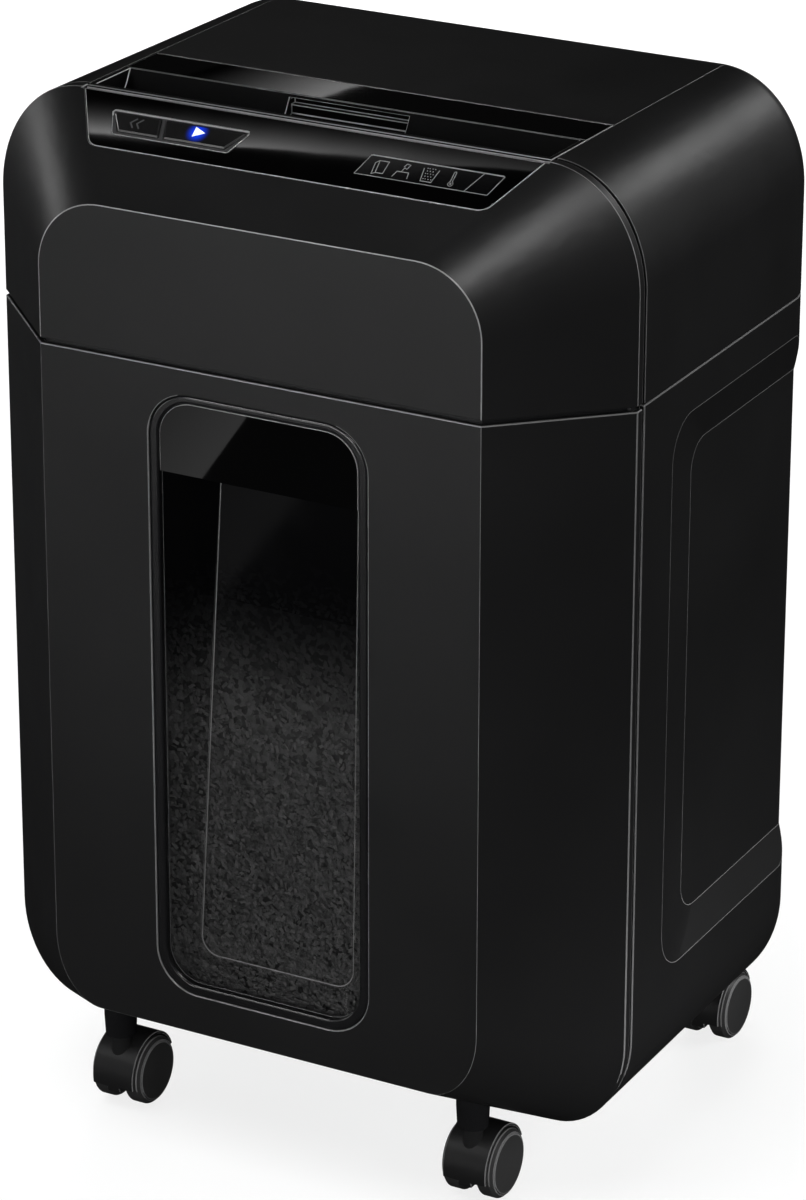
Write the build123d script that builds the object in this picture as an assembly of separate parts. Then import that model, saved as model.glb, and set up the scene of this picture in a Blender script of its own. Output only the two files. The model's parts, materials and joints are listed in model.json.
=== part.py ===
from build123d import *
import math
import os

# A free-standing paper shredder on four casters, with a pull-out bin.
# Each piece is drawn with y = 0 on the front face of the bin and z = 0 on the seam between head
# and bin, then moved so that the origin lies on the floor under the middle of the part.
# X runs to the right, Y to the back and Z up. Sizes are in millimetres.

# Cabinet outline, in the plane behind the front bevel; corner radii are across and upright
HALF_WIDTH = 160.0
TOP = 103.0
BOTTOM = -349.0
HIGH_RADII = (44.0, 53.0)
LOW_RADII = (35.0, 46.0)

# Flat front face and the bevel that joins it to the outline
FACE_HALF = 110.3
FACE_TOP = 67.0
FACE_BOTTOM = -323.4
FACE_HIGH_RADII = (32.0, 32.0)
FACE_LOW_RADII = (24.0, 34.0)
BEVEL_DEPTH = 48.2

# Depth, the slightly narrower back and its rounding, and the wall of the shells
BACK = 240.0
BACK_HALF = 155.8
BACK_R = 25.0
WALL = 3.0
FACE_INSET = 0.4
BEVEL_INSET = 1.43

# Gaps between the shells
SEAM = 2.2
FRONT_END = 53.0
COVER_START = 55.0
TOP_COVER_HALF = 116.0
REAR_PANEL_HALF = 120.0
BASE_TOP = -338.0
LINE_GAP = 0.5
LIP_GAP = 0.5
LIP_REACH = 3.0

# Recess in each side cover: boundary at the surface, and its floor
RECESS_DEPTH = 7.5
RECESS_FRONT = (85.0, 121.0)
RECESS_LOW = (-284.0, -270.0)
RECESS_HIGH = (-18.5, -40.5)
RECESS_R = (20.0, 14.0)

# Control panel, in the plane of the top bevel: across, and up from the front face
PANEL_LOW = 29.8
PANEL_HIGH = 59.6
PANEL_LOW_HALF = 98.5
PANEL_HIGH_HALF = 115.0
PANEL_R = 7.0
PANEL_THICK = 2.6
PANEL_GAP = 0.3
KEYS_LOW = 37.4
KEYS_HIGH = 51.0
KEYS_LEFT = (-90.0, -96.0)
KEYS_RIGHT = (-31.0, -24.0)
KEYS_SPLIT = -67.0
KEYS_RIM = 1.6
KEY_GAP = 0.4
KEY_THICK = 5.0
KEY_TRAVEL = 1.5
LENS_LOW = 38.0
LENS_HIGH = 49.6
LENS_LEFT = (31.0, 35.3)
LENS_RIGHT = (96.3, 100.6)
LENS_THICK = 1.0

# Feed throat and the strip behind it
SLOT_HALF = 113.0
SLOT_FRONT = 63.0
SLOT_BACK = 70.0
SLOT_FOOT = 60.0
THROAT_FRONT = 50.5
THROAT_EDGE = 83.0
THROAT_WALL = 2.0
FUNNEL_FOOT = 84.0
STRIP_BACK = 109.0
STRIP_THICK = 2.1
NOTCH_HALF = 30.0
NOTCH_BACK = 86.5
NOTCH_HIGH = 101.4

# Window, its rim and the grip plate
RIM_HALF = 55.0
RIM_LOW = -304.0
RIM_HIGH = -13.4
RIM_R = 21.0
MOUTH_HALF = 50.4
MOUTH_LOW = -299.3
MOUTH_HIGH = -16.9
MOUTH_R = 17.0
RIM_FRONT = 0.3
MOUTH_Y = 3.3
PANE_LOW = -289.0
PANE_HIGH = -28.0
PANE_LOW_HALF = 40.0
PANE_HIGH_HALF = 34.3
PANE_LOW_Y = 13.5
PANE_HIGH_Y = 30.0
PANE_R = 9.0
WINDOW_WALL = 2.0
GRIP_LOW = -51.0
GRIP_FRONT = 1.0
GRIP_BACK = 3.2

# Bin tub and the neck that joins it to the window
TUB_HALF = 142.5
TUB_FRONT = 56.0
TUB_BACK = 224.0
TUB_LOW = -326.5
TUB_HIGH = -8.0
TUB_WALL = 2.5
TUB_R = 15.0
NECK_HALF = 64.0
NECK_LOW = -316.0

# Cutting unit
CUTTER_Z = 38.0
NIP_Y = 66.5
CUTTER_SPACING = 35.0
DISC_R = 18.5
DISC_THICK = 3.8
DISC_PITCH = 8.0
DISC_COUNT = 28
HOOKS = 6
HOOK_DEPTH = 2.2
HOOK_TWIST = 17.0
CORE_R = 15.4
CORE_HALF = 114.0
JOURNAL_R = 6.0
RUN_GAP = 0.05
BUSH_R = 9.0
PLATE_IN = 117.5
PLATE_OUT = 120.5
DECK_LOW = 1.5
DECK_HIGH = 4.5
SKIRT_LOW = -5.0
ROD_R = 4.0
RODS = ((28.0, 13.0), (106.0, 68.0), (106.0, 13.0))
COMB_LOW = 30.0
COMB_HIGH = 46.0

# Gear train
PRESSURE = math.radians(25.0)
ADDENDUM = 0.8
DEDENDUM = 1.05
BACKLASH = 0.1
TIMING_MODULE = 1.25
TIMING_TEETH = 28
SMALL_TEETH = 12
LARGE_MODULE = 1.0
LARGE_TEETH = 60
PINION_TEETH = 12
IDLER_ANGLE = 20.0
GEAR_IN = 122.2
GEAR_OUT = 132.2
LARGE_IN = 134.0
LARGE_OUT = 141.0
MOTOR_R = 30.0

# Back of the head
GLAND_X = -92.0
GLAND_Z = 24.0
GLAND_R = 3.6
SWITCH_X = 92.0
SWITCH_Z = 25.0
ROCKER_TILT = 8.0

# Casters
FLOOR = -388.0
WHEEL_R = 16.5
WHEEL_IN = 3.9
WHEEL_OUT = 14.2
HOOD_R = 18.6
HOOD_IN_R = 17.2
HOOD_HALF = 11.0
WEB_HALF = 3.4
HOOD_FROM = 20.0
HOOD_TO = 193.0
TRAIL = 10.0
STEM_R = 4.0
AXLE_R = 2.0
SOCKET_R = 7.75
BOSS_R = 11.0
SOCKET_FOOT = -350.0
TOE_TOP = -328.0
STEMS = {
    "front_left": (-94.0, 28.0),
    "front_right": (94.0, 28.0),
    "rear_left": (-117.0, 223.0),
    "rear_right": (117.0, 223.0),
}
AXLE_Z = FLOOR + WHEEL_R
REACH = STEMS["rear_left"][1] + TRAIL + HOOD_R
TO_ORIGIN = Pos(0, -REACH / 2, -FLOOR)

# Positions that follow from the sizes above
FRONT_CUTTER_Y = NIP_Y - CUTTER_SPACING / 2
REAR_CUTTER_Y = NIP_Y + CUTTER_SPACING / 2
IDLER_DISTANCE = TIMING_MODULE * (TIMING_TEETH + SMALL_TEETH) / 2
IDLER_Y = REAR_CUTTER_Y + IDLER_DISTANCE * math.cos(math.radians(IDLER_ANGLE))
IDLER_Z = CUTTER_Z + IDLER_DISTANCE * math.sin(math.radians(IDLER_ANGLE))
MOTOR_Y = IDLER_Y + LARGE_MODULE * (LARGE_TEETH + PINION_TEETH) / 2
BEVEL_PLANE = Plane(
    origin=(0, 0, FACE_TOP), x_dir=(1, 0, 0), z_dir=(0, FACE_TOP - TOP, BEVEL_DEPTH)
)
SIDE_DRAFT = (HALF_WIDTH - BACK_HALF) / (BACK - BEVEL_DEPTH)
FAR = 400.0


# Small helpers


def block(x, y, z):
    """A box from three (low, high) pairs."""
    size = [high - low for low, high in (x, y, z)]
    middle = [(high + low) / 2 for low, high in (x, y, z)]
    return Pos(*middle) * Box(*size)


def rod_x(radius, x, y, z):
    """A cylinder along X from x[0] to x[1]."""
    return Pos((x[0] + x[1]) / 2, y, z) * Rot(0, 90, 0) * Cylinder(radius, x[1] - x[0])


def rod_y(radius, x, y, z):
    """A cylinder along Y from y[0] to y[1]."""
    return Pos(x, (y[0] + y[1]) / 2, z) * Rot(90, 0, 0) * Cylinder(radius, y[1] - y[0])


def rod_z(radius, x, y, z):
    """A cylinder along Z from z[0] to z[1]."""
    return Pos(x, y, (z[0] + z[1]) / 2) * Cylinder(radius, z[1] - z[0])


def at_y(sketch, y):
    """Stands a sketch up, its own y along Z, at a distance from the front."""
    return Plane(origin=(0, y, 0), x_dir=(1, 0, 0), z_dir=(0, -1, 0)) * sketch


def prism_y(sketch, y):
    """A sketch of (x, z) points drawn out along Y."""
    return extrude(at_y(sketch, y[0]), amount=y[1] - y[0], dir=(0, 1, 0))


def prism_x(sketch, x):
    """A sketch of (y, z) points drawn out along X."""
    plane = Plane(origin=(x[0], 0, 0), x_dir=(0, 1, 0), z_dir=(1, 0, 0))
    return extrude(plane * sketch, amount=x[1] - x[0])


def on_bevel(sketch, low, high):
    """A sketch in the plane of the top bevel, drawn out between two heights over it."""
    solid = extrude(sketch, amount=high - low)
    return BEVEL_PLANE * (Pos(0, 0, low) * solid)


def polygon(points):
    return make_face(Polyline(*points, close=True))


def rounded(points, radius):
    """A polygon with all its corners rounded alike."""
    face = polygon(points)
    return fillet(face.vertices(), radius)


def mirrored(shape):
    """The same piece on the other side of the cabinet."""
    return mirror(shape, about=Plane.YZ)


def group(solids):
    """Several separate solids as one node."""
    return Compound(children=list(solids))


def quarter(middle, radii, start):
    """A quarter of an ellipse, or of a circle where both radii are alike."""
    if radii[0] == radii[1]:
        return CenterArc(middle, radii[0], start, 90)
    return EllipticalCenterArc(middle, radii[0], radii[1], start)


def outline(half, low, high, low_radii, high_radii, inset=0.0):
    """A rounded rectangle, or one drawn in by an inset on every side."""
    half = half - inset
    low = low + inset
    high = high - inset
    low_radii = [radius - inset for radius in low_radii]
    high_radii = [radius - inset for radius in high_radii]
    x_low = half - low_radii[0]
    x_high = half - high_radii[0]
    z_low = low + low_radii[1]
    z_high = high - high_radii[1]
    edges = [
        Line((-x_low, low), (x_low, low)),
        quarter((x_low, z_low), low_radii, 270),
        Line((half, z_low), (half, z_high)),
        quarter((x_high, z_high), high_radii, 0),
        Line((x_high, high), (-x_high, high)),
        quarter((-x_high, z_high), high_radii, 90),
        Line((-half, z_high), (-half, z_low)),
        quarter((-x_low, z_low), low_radii, 180),
    ]
    return make_face(edges)


# The body that all outer shells are cut from


def face_outline(inset):
    return outline(FACE_HALF, FACE_BOTTOM, FACE_TOP, FACE_LOW_RADII, FACE_HIGH_RADII, inset)


def cabinet_outline(inset):
    return outline(HALF_WIDTH, BOTTOM, TOP, LOW_RADII, HIGH_RADII, inset)


def body(skin):
    """The whole body, drawn in by a skin thickness on every side."""
    front = loft(
        [
            at_y(face_outline(skin * FACE_INSET), skin),
            at_y(cabinet_outline(skin * BEVEL_INSET), BEVEL_DEPTH),
        ],
        ruled=True,
    )
    right_half = cabinet_outline(skin) & Pos(FAR / 2, 0) * Rectangle(FAR, 2 * FAR)
    drift = BACK - skin - BEVEL_DEPTH
    right = Solid.extrude(
        at_y(right_half, BEVEL_DEPTH).face(), Vector(-SIDE_DRAFT * drift, drift, 0)
    )
    rear = right + mirrored(right)
    back_edges = rear.faces().sort_by(Axis.Y)[-1].edges()
    rear = fillet(back_edges, BACK_R - skin)
    return front + rear


def recess_level(depth, grow):
    """The outline of the side recess at one depth, as a (y, z) sketch open to the back."""
    share = depth / RECESS_DEPTH
    front = RECESS_FRONT[0] + share * (RECESS_FRONT[1] - RECESS_FRONT[0]) - grow
    low = RECESS_LOW[0] + share * (RECESS_LOW[1] - RECESS_LOW[0]) - grow
    high = RECESS_HIGH[0] + share * (RECESS_HIGH[1] - RECESS_HIGH[0]) + grow
    radius = RECESS_R[0] + share * (RECESS_R[1] - RECESS_R[0]) + grow
    end = BACK + WALL * 4
    edges = [
        Line((end, low), (front + radius, low)),
        CenterArc((front + radius, low + radius), radius, 270, -90),
        Line((front, low + radius), (front, high - radius)),
        CenterArc((front + radius, high - radius), radius, 180, -90),
        Line((front + radius, high), (end, high)),
        Line((end, high), (end, low)),
    ]
    return make_face(edges)


def recess(skin):
    """The space cut out of the right side, or out of its lining when a skin is given."""
    levels = []
    for depth in (-0.5, RECESS_DEPTH):
        x = HALF_WIDTH + SIDE_DRAFT * BEVEL_DEPTH - skin - depth
        plane = Plane(origin=(x, 0, 0), x_dir=(-SIDE_DRAFT, 1, 0), z_dir=(1, SIDE_DRAFT, 0))
        levels.append(plane * recess_level(depth, skin / 2))
    return loft(levels, ruled=True)


def recessed_body(skin):
    solid = body(skin)
    cut = recess(skin)
    return solid - cut - mirrored(cut)


OUTER = recessed_body(0)
INNER = recessed_body(WALL)
SHELL = OUTER - INNER
HEAD_LOW = SEAM / 2
BIN_HIGH = -SEAM / 2
COVER_LOW = LINE_GAP / 2
SIDE_HIGH = -LINE_GAP / 2
FRONT_SPAN = (-1.0, FRONT_END)
COVER_SPAN = (COVER_START, FAR)


def trapezoid(low, high, left, right, inset=0.0):
    """A four-sided sketch; left and right hold the x at the low and the high edge."""
    return [
        (left[0] + inset, low + inset),
        (right[0] - inset, low + inset),
        (right[1] - inset, high - inset),
        (left[1] + inset, high - inset),
    ]


def groove_lip():
    """A ring behind the groove between front and covers, fixed to the covers."""
    skin = WALL + 2.0
    lining = body(skin)
    root = (body(WALL) - lining) & block((-FAR, FAR), (COVER_START, COVER_START + 4), (-FAR, FAR))
    reach = body(WALL + LIP_GAP) - lining
    return root + (reach & block((-FAR, FAR), (FRONT_END - LIP_REACH, COVER_START + 1), (-FAR, FAR)))


LIP = groove_lip()


# Head shells


def panel_sketch(gap, overrun):
    """The control panel's outline: slanted ends, two rounded lower corners, and an overrun on top."""
    points = [
        (PANEL_LOW_HALF - gap, PANEL_LOW + gap),
        (PANEL_HIGH_HALF - gap, PANEL_HIGH),
    ]
    if overrun > 0:
        points.append((TOP_COVER_HALF, PANEL_HIGH))
        points.append((TOP_COVER_HALF, PANEL_HIGH + overrun))
    points += [(-x, y) for x, y in reversed(points)]
    face = polygon(points)
    low_corners = face.vertices().sort_by(Axis.Y)[:2]
    return fillet(low_corners, PANEL_R)


def front_bezel():
    shell = SHELL & block((-FAR, FAR), FRONT_SPAN, (HEAD_LOW, FAR))
    pocket = on_bevel(panel_sketch(0.0, 20.0), -14, 12)
    return shell - pocket


def control_panel():
    plate = on_bevel(panel_sketch(PANEL_GAP, 0.0), -PANEL_THICK, 0)
    keys = rounded(trapezoid(KEYS_LOW, KEYS_HIGH, KEYS_LEFT, KEYS_RIGHT), 2.0)
    lens = rounded(trapezoid(LENS_LOW, LENS_HIGH, LENS_LEFT, LENS_RIGHT), 1.5)
    return plate - on_bevel(keys, -FAR, 12) - on_bevel(lens, -LENS_THICK, 12)


def button_frame():
    """The rim round the two buttons, with a bar between them and a skirt behind the panel."""
    outer = rounded(trapezoid(KEYS_LOW, KEYS_HIGH, KEYS_LEFT, KEYS_RIGHT, 0.15), 1.85)
    skirt = rounded(trapezoid(KEYS_LOW, KEYS_HIGH, KEYS_LEFT, KEYS_RIGHT, -1.5), 2.0)
    frame = on_bevel(outer, -PANEL_THICK, 0.3) + on_bevel(skirt, -PANEL_THICK - 1.2, -PANEL_THICK)
    for key in key_sketches(-KEY_GAP):
        frame -= on_bevel(key, -20, 12)
    return frame


def key_sketches(inset):
    """The reverse and the start button, drawn in from the openings of their frame."""
    half_bar = 0.9
    reverse = trapezoid(
        KEYS_LOW + KEYS_RIM,
        KEYS_HIGH - KEYS_RIM,
        (KEYS_LEFT[0] + KEYS_RIM * 1.3, KEYS_LEFT[1] + KEYS_RIM),
        (KEYS_SPLIT + 1.5 - half_bar, KEYS_SPLIT - 1.5 - half_bar),
        inset + KEY_GAP,
    )
    start = trapezoid(
        KEYS_LOW + KEYS_RIM,
        KEYS_HIGH - KEYS_RIM,
        (KEYS_SPLIT + 1.5 + half_bar, KEYS_SPLIT - 1.5 + half_bar),
        (KEYS_RIGHT[0] - KEYS_RIM * 1.3, KEYS_RIGHT[1] - KEYS_RIM),
        inset + KEY_GAP,
    )
    return [rounded(reverse, 0.8), rounded(start, 0.8)]


def button(index):
    """A key cap whose top edges are cut back to a narrow slope."""
    cap = extrude(key_sketches(0.0)[index], amount=KEY_THICK)
    top_edges = cap.faces().sort_by(Axis.Z)[-1].edges()
    cap = chamfer(top_edges, 0.7)
    return BEVEL_PLANE * (Pos(0, 0, 0.9 - KEY_THICK) * cap)


def indicator_lens():
    lens = trapezoid(LENS_LOW, LENS_HIGH, LENS_LEFT, LENS_RIGHT, 0.2)
    return on_bevel(rounded(lens, 1.3), -LENS_THICK, 0.15)


def control_board():
    """The circuit board behind the buttons, on four pillars under the panel."""
    low = -PANEL_THICK - KEY_THICK - KEY_TRAVEL
    board = on_bevel(polygon(trapezoid(32.5, 56.0, (-92.0, -92.0), (92.0, 92.0))), low - 1.6, low)
    for x in (-16.0, 16.0, 88.0):
        for y in (35.0, 54.0):
            pillar = Pos(x, y) * Circle(2.0)
            board += on_bevel(pillar, low, -PANEL_THICK)
    return board


def cheek():
    """The right shoulder of the head."""
    half = TOP_COVER_HALF + LINE_GAP / 2
    shell = SHELL & block((half, FAR), COVER_SPAN, (COVER_LOW, FAR))
    return shell + (LIP & block((half, FAR), (0, FAR), (DECK_HIGH, FAR)))


def top_cover():
    """The middle of the head: flat top, rounded down into the back wall with its vents."""
    half = TOP_COVER_HALF - LINE_GAP / 2
    cover = SHELL & block((-half, half), (STRIP_BACK + LINE_GAP, FAR), (COVER_LOW, FAR))
    for row in range(6):
        z = 30.0 + 6.5 * row
        cover -= block((-48.0, 48.0), (BACK - 2 * WALL, FAR), (z - 1.4, z + 1.4))
    cover -= rod_y(GLAND_R + 3.0, GLAND_X, (BACK - 10, FAR), GLAND_Z)
    cover -= block(
        (SWITCH_X - 13.2, SWITCH_X + 13.2), (BACK - 10, FAR), (SWITCH_Z - 10.7, SWITCH_Z + 10.7)
    )
    return cover - screw_holes(screw_places()[1])


def throat_profile():
    """Outside of the feed throat: lip, funnel, chute, and the shelf under the strip."""
    foot = SLOT_FOOT
    shelf = TOP - STRIP_THICK
    return [
        (THROAT_FRONT, TOP - 8),
        (THROAT_FRONT, TOP - 1),
        (THROAT_FRONT + 1, TOP),
        (THROAT_EDGE + 0.4, TOP),
        (THROAT_EDGE + 0.4, shelf),
        (STRIP_BACK, shelf),
        (STRIP_BACK, shelf - THROAT_WALL),
        (NOTCH_BACK + THROAT_WALL, shelf - THROAT_WALL),
        (NOTCH_BACK + THROAT_WALL, FUNNEL_FOOT + 3),
        (SLOT_BACK + THROAT_WALL, FUNNEL_FOOT - 4),
        (SLOT_BACK + THROAT_WALL, foot),
        (SLOT_FRONT - THROAT_WALL, foot),
        (SLOT_FRONT - THROAT_WALL, FUNNEL_FOOT),
    ]


def feed_throat():
    funnel = [
        (THROAT_FRONT + 4.2, TOP + 1),
        (THROAT_FRONT + 4.2, TOP - 1),
        (SLOT_FRONT, FUNNEL_FOOT),
        (SLOT_FRONT, SLOT_FOOT - 1),
        (SLOT_BACK, SLOT_FOOT - 1),
        (SLOT_BACK, FUNNEL_FOOT),
        (THROAT_EDGE - 3.5, TOP - 5.8),
        (THROAT_EDGE - 0.2, TOP + 0.1),
        (THROAT_EDGE - 0.2, TOP + 1),
    ]
    half = TOP_COVER_HALF - LINE_GAP
    throat = prism_x(polygon(throat_profile()), (-half, half))
    throat -= prism_x(polygon(funnel), (-SLOT_HALF, SLOT_HALF))
    notch = [
        (SLOT_BACK + 3, FUNNEL_FOOT + 3),
        (NOTCH_BACK - 3, TOP - 9),
        (NOTCH_BACK - 3, TOP - 5),
        (NOTCH_BACK, TOP - 5),
        (NOTCH_BACK, NOTCH_HIGH),
        (THROAT_EDGE - 6, NOTCH_HIGH),
    ]
    return throat - prism_x(polygon(notch), (-NOTCH_HALF, NOTCH_HALF))


def top_strip():
    half = TOP_COVER_HALF - LINE_GAP
    front = THROAT_EDGE + 0.4 + LINE_GAP / 2
    return block((-half, half), (front, STRIP_BACK), (TOP - STRIP_THICK, TOP))


# Cabinet shells


def side_cover():
    """The right side: wraps the back corner and the upper part of the bottom corner."""
    cover = SHELL & block((0, FAR), COVER_SPAN, (BASE_TOP + LINE_GAP / 2, SIDE_HIGH))
    cover += LIP & block((0, FAR), (0, FAR), (BASE_TOP + LINE_GAP / 2, SKIRT_LOW - LIP_GAP))
    cover -= block((0, REAR_PANEL_HALF + LINE_GAP / 2), (BACK - BACK_R, FAR), (-FAR, FAR))
    return cover - rear_bosses(LIP_GAP)


def screw_places():
    """(x, z) of the screws in the rear panel and in the back of the top cover."""
    panel = [(x, z) for x in (-110.0, 110.0) for z in (-14.0, -168.0, -314.0)]
    head = [(x, 14.0) for x in (-60.0, 60.0)]
    return panel, head


def screw_holes(places):
    return [rod_y(1.8, x, (BACK - 2 * WALL, FAR), z) for x, z in places]


def rear_panel():
    half = REAR_PANEL_HALF - LINE_GAP / 2
    span = (BASE_TOP + LINE_GAP / 2, SIDE_HIGH)
    panel = SHELL & block((-half, half), (BACK - BACK_R, FAR), span)
    groove = rounded([(-96.0, -310.0), (96.0, -310.0), (96.0, -30.0), (-96.0, -30.0)], 14.0)
    inner = rounded([(-93.0, -307.0), (93.0, -307.0), (93.0, -33.0), (-93.0, -33.0)], 11.0)
    panel -= prism_y(groove - inner, (BACK - 1.0, BACK + 1))
    return panel - screw_holes(screw_places()[0]) - rear_bosses(LIP_GAP)


def rear_screws():
    """Pan-head screws with a cross recess, as separate solids."""
    solids = []
    for x, z in screw_places()[0] + screw_places()[1]:
        head = rod_y(3.5, x, (BACK, BACK + 2.2), z)
        head = fillet(head.faces().sort_by(Axis.Y)[-1].edges(), 1.2)
        shank = rod_y(1.7, x, (BACK - 8, BACK), z)
        cross = block((x - 2, x + 2), (BACK + 1.2, FAR), (z - 0.4, z + 0.4))
        cross += block((x - 0.4, x + 0.4), (BACK + 1.2, FAR), (z - 2, z + 2))
        solids.append(head + shank - cross)
    return group(solids)


def rear_bosses(grow):
    """The posts that hold the rear casters, as one shape."""
    x, y = STEMS["rear_right"]
    boss = rod_z(BOSS_R + grow, x, y, (BOTTOM, TOE_TOP + grow))
    return boss + mirrored(boss)


def base_plate():
    """The tray under the bin, with two toes that reach forward to the front casters."""
    tray = SHELL & block((-FAR, FAR), COVER_SPAN, (-FAR, BASE_TOP - LINE_GAP / 2))
    inside = INNER & block((-FAR, FAR), COVER_SPAN, (BOTTOM, TOE_TOP))
    front_x, front_y = STEMS["front_right"]
    for side in (-1, 1):
        x = side * front_x
        toe = block((x - 13, x + 13), (front_y - 11, COVER_START + 8), (BOTTOM, TOE_TOP))
        tray += toe & OUTER
        rail = block((x - 5, x + 5), (COVER_START, BACK - 12), (BOTTOM + WALL, TOE_TOP))
        tray += rail & inside
    tray += rear_bosses(0.0)
    for x, y in STEMS.values():
        tray -= rod_z(SOCKET_R, x, y, (-FAR, 0))
    return tray


def deck_plate():
    """The floor of the head, with the opening that the cut paper falls through."""
    inside = body(WALL + LIP_GAP)
    lining = body(WALL + 2.0)
    skirt = (inside - lining) & block((-FAR, FAR), (-FAR, FAR), (SKIRT_LOW, DECK_LOW))
    deck = inside & block((-FAR, FAR), (-FAR, FAR), (DECK_LOW, DECK_HIGH))
    opening = block((-112.0, 112.0), (30.5, 102.5), (-FAR, FAR))
    return deck + skirt - opening


# Cutting unit


def cutter_plate(back, shaft_hole):
    """A side plate of the cutting unit, drawn on the right."""
    points = [
        (20.0, DECK_HIGH),
        (20.0, 54.0),
        (38.0, 78.0),
        (back, 78.0),
        (back, DECK_HIGH),
    ]
    plate = prism_x(polygon(points), (PLATE_IN, PLATE_OUT))
    span = (PLATE_IN - 1, PLATE_OUT + 1)
    for y in (FRONT_CUTTER_Y, REAR_CUTTER_Y):
        plate -= rod_x(BUSH_R, span, y, CUTTER_Z)
    for y, z in RODS:
        plate -= rod_x(ROD_R, span, y, z)
    if shaft_hole:
        plate -= rod_x(ROD_R, span, IDLER_Y, IDLER_Z)
        plate -= rod_x(10.0, span, MOTOR_Y, IDLER_Z)
    return plate


def cutter_rods():
    """Three tie rods between the plates, and the pin that the idler turns on."""
    solids = [rod_x(ROD_R, (-PLATE_OUT - 2, PLATE_OUT + 2), y, z) for y, z in RODS]
    solids.append(rod_x(ROD_R, (PLATE_IN, LARGE_OUT + 3), IDLER_Y, IDLER_Z))
    return group(solids)


def cutter_bushes():
    solids = []
    for side in (-1, 1):
        for y in (FRONT_CUTTER_Y, REAR_CUTTER_Y):
            ends = sorted((side * (PLATE_IN - 1), side * (PLATE_OUT + 1)))
            bush = rod_x(BUSH_R, ends, y, CUTTER_Z)
            solids.append(bush - rod_x(JOURNAL_R + RUN_GAP, ends, y, CUTTER_Z))
    return group(solids)


def hook_disc(twist):
    """Outline of one cutting disc: a circle with hooked teeth."""
    points = []
    step = 360.0 / HOOKS
    for hook in range(HOOKS):
        start = hook * step + twist
        for share in (0.0, 0.3, 0.6, 0.85):
            points.append((DISC_R, start + share * step))
        points.append((DISC_R - HOOK_DEPTH, start + 0.88 * step))
    return polygon([polar(radius, angle) for radius, angle in points])


def polar(radius, degrees):
    angle = math.radians(degrees)
    return radius * math.cos(angle), radius * math.sin(angle)


def disc_places(count):
    first = -(count - 1) * DISC_PITCH / 2
    return [first + DISC_PITCH * index for index in range(count)]


def cutter_shaft(y, count):
    """A solid cutter: shaft, core and hooked discs, with a drive end on the right."""
    shaft = rod_x(CORE_R, (-CORE_HALF, CORE_HALF), y, CUTTER_Z)
    shaft += rod_x(JOURNAL_R, (-PLATE_OUT - 2, GEAR_OUT + 1), y, CUTTER_Z)
    discs = []
    for index, x in enumerate(disc_places(count)):
        disc = hook_disc(index * HOOK_TWIST)
        span = (x - DISC_THICK / 2, x + DISC_THICK / 2)
        discs.append(Pos(0, y, CUTTER_Z) * prism_x(disc, span))
    return shaft + discs


def stripper_comb(bar, finger, count):
    """A bar with a finger in each gap between the discs of one cutter."""
    comb = block((-PLATE_IN, PLATE_IN), bar, (COMB_LOW, COMB_HIGH))
    teeth = []
    for x in disc_places(count):
        teeth.append(block((x - 1.5, x + 1.5), finger, (COMB_LOW + 3, COMB_HIGH - 3)))
    return comb + teeth


# Gears


def gear_sketch(module, teeth, phase):
    """An involute gear outline with one tooth centred on the phase angle."""
    pitch_r = module * teeth / 2
    base_r = pitch_r * math.cos(PRESSURE)
    tip_r = pitch_r + ADDENDUM * module
    root_r = pitch_r - DEDENDUM * module
    half_tooth = (math.pi * module / 2 - BACKLASH) / (2 * pitch_r)

    def half_angle(radius):
        roll = math.acos(min(1.0, base_r / radius))
        involute = math.tan(roll) - roll
        return math.degrees(half_tooth + math.tan(PRESSURE) - PRESSURE - involute)

    flank_r = max(base_r, root_r)
    radii = [flank_r + (tip_r - flank_r) * share for share in (0.0, 0.35, 0.7, 1.0)]
    flank = [(radius, half_angle(radius)) for radius in radii]
    if root_r < base_r:
        flank.insert(0, (root_r, flank[0][1]))
    points = []
    for tooth in range(teeth):
        middle = phase + tooth * 360.0 / teeth
        points += [polar(radius, middle - half) for radius, half in flank]
        points += [polar(radius, middle + half) for radius, half in reversed(flank)]
    return polygon(points)


def meshed_phase(phase, teeth, other_teeth, direction):
    """Phase of a gear that meshes with another one, seen from that one along a direction."""
    lag = (phase - direction) * teeth / other_teeth
    return direction + 180.0 - lag + 180.0 / other_teeth


def gear(module, teeth, phase, span, y, z, bore):
    blank = Pos(0, y, z) * prism_x(gear_sketch(module, teeth, phase), span)
    return blank - rod_x(bore, (span[0] - 1, span[1] + 1), y, z)


REAR_PHASE = IDLER_ANGLE
FRONT_PHASE = meshed_phase(REAR_PHASE, TIMING_TEETH, TIMING_TEETH, 180.0)
SMALL_PHASE = meshed_phase(REAR_PHASE, TIMING_TEETH, SMALL_TEETH, IDLER_ANGLE)
LARGE_PHASE = 0.0
PINION_PHASE = meshed_phase(LARGE_PHASE, LARGE_TEETH, PINION_TEETH, 0.0)


def timing_gear(y, phase):
    span = (GEAR_IN, GEAR_OUT)
    return gear(TIMING_MODULE, TIMING_TEETH, phase, span, y, CUTTER_Z, JOURNAL_R)


def idler_gear():
    """A large wheel driven by the motor, in one piece with a small one that drives the rear cutter."""
    bore = ROD_R + RUN_GAP
    small_span = (GEAR_IN, LARGE_IN)
    small = gear(TIMING_MODULE, SMALL_TEETH, SMALL_PHASE, small_span, IDLER_Y, IDLER_Z, bore)
    large_span = (LARGE_IN, LARGE_OUT)
    large = gear(LARGE_MODULE, LARGE_TEETH, LARGE_PHASE, large_span, IDLER_Y, IDLER_Z, bore)
    return small + large


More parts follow.
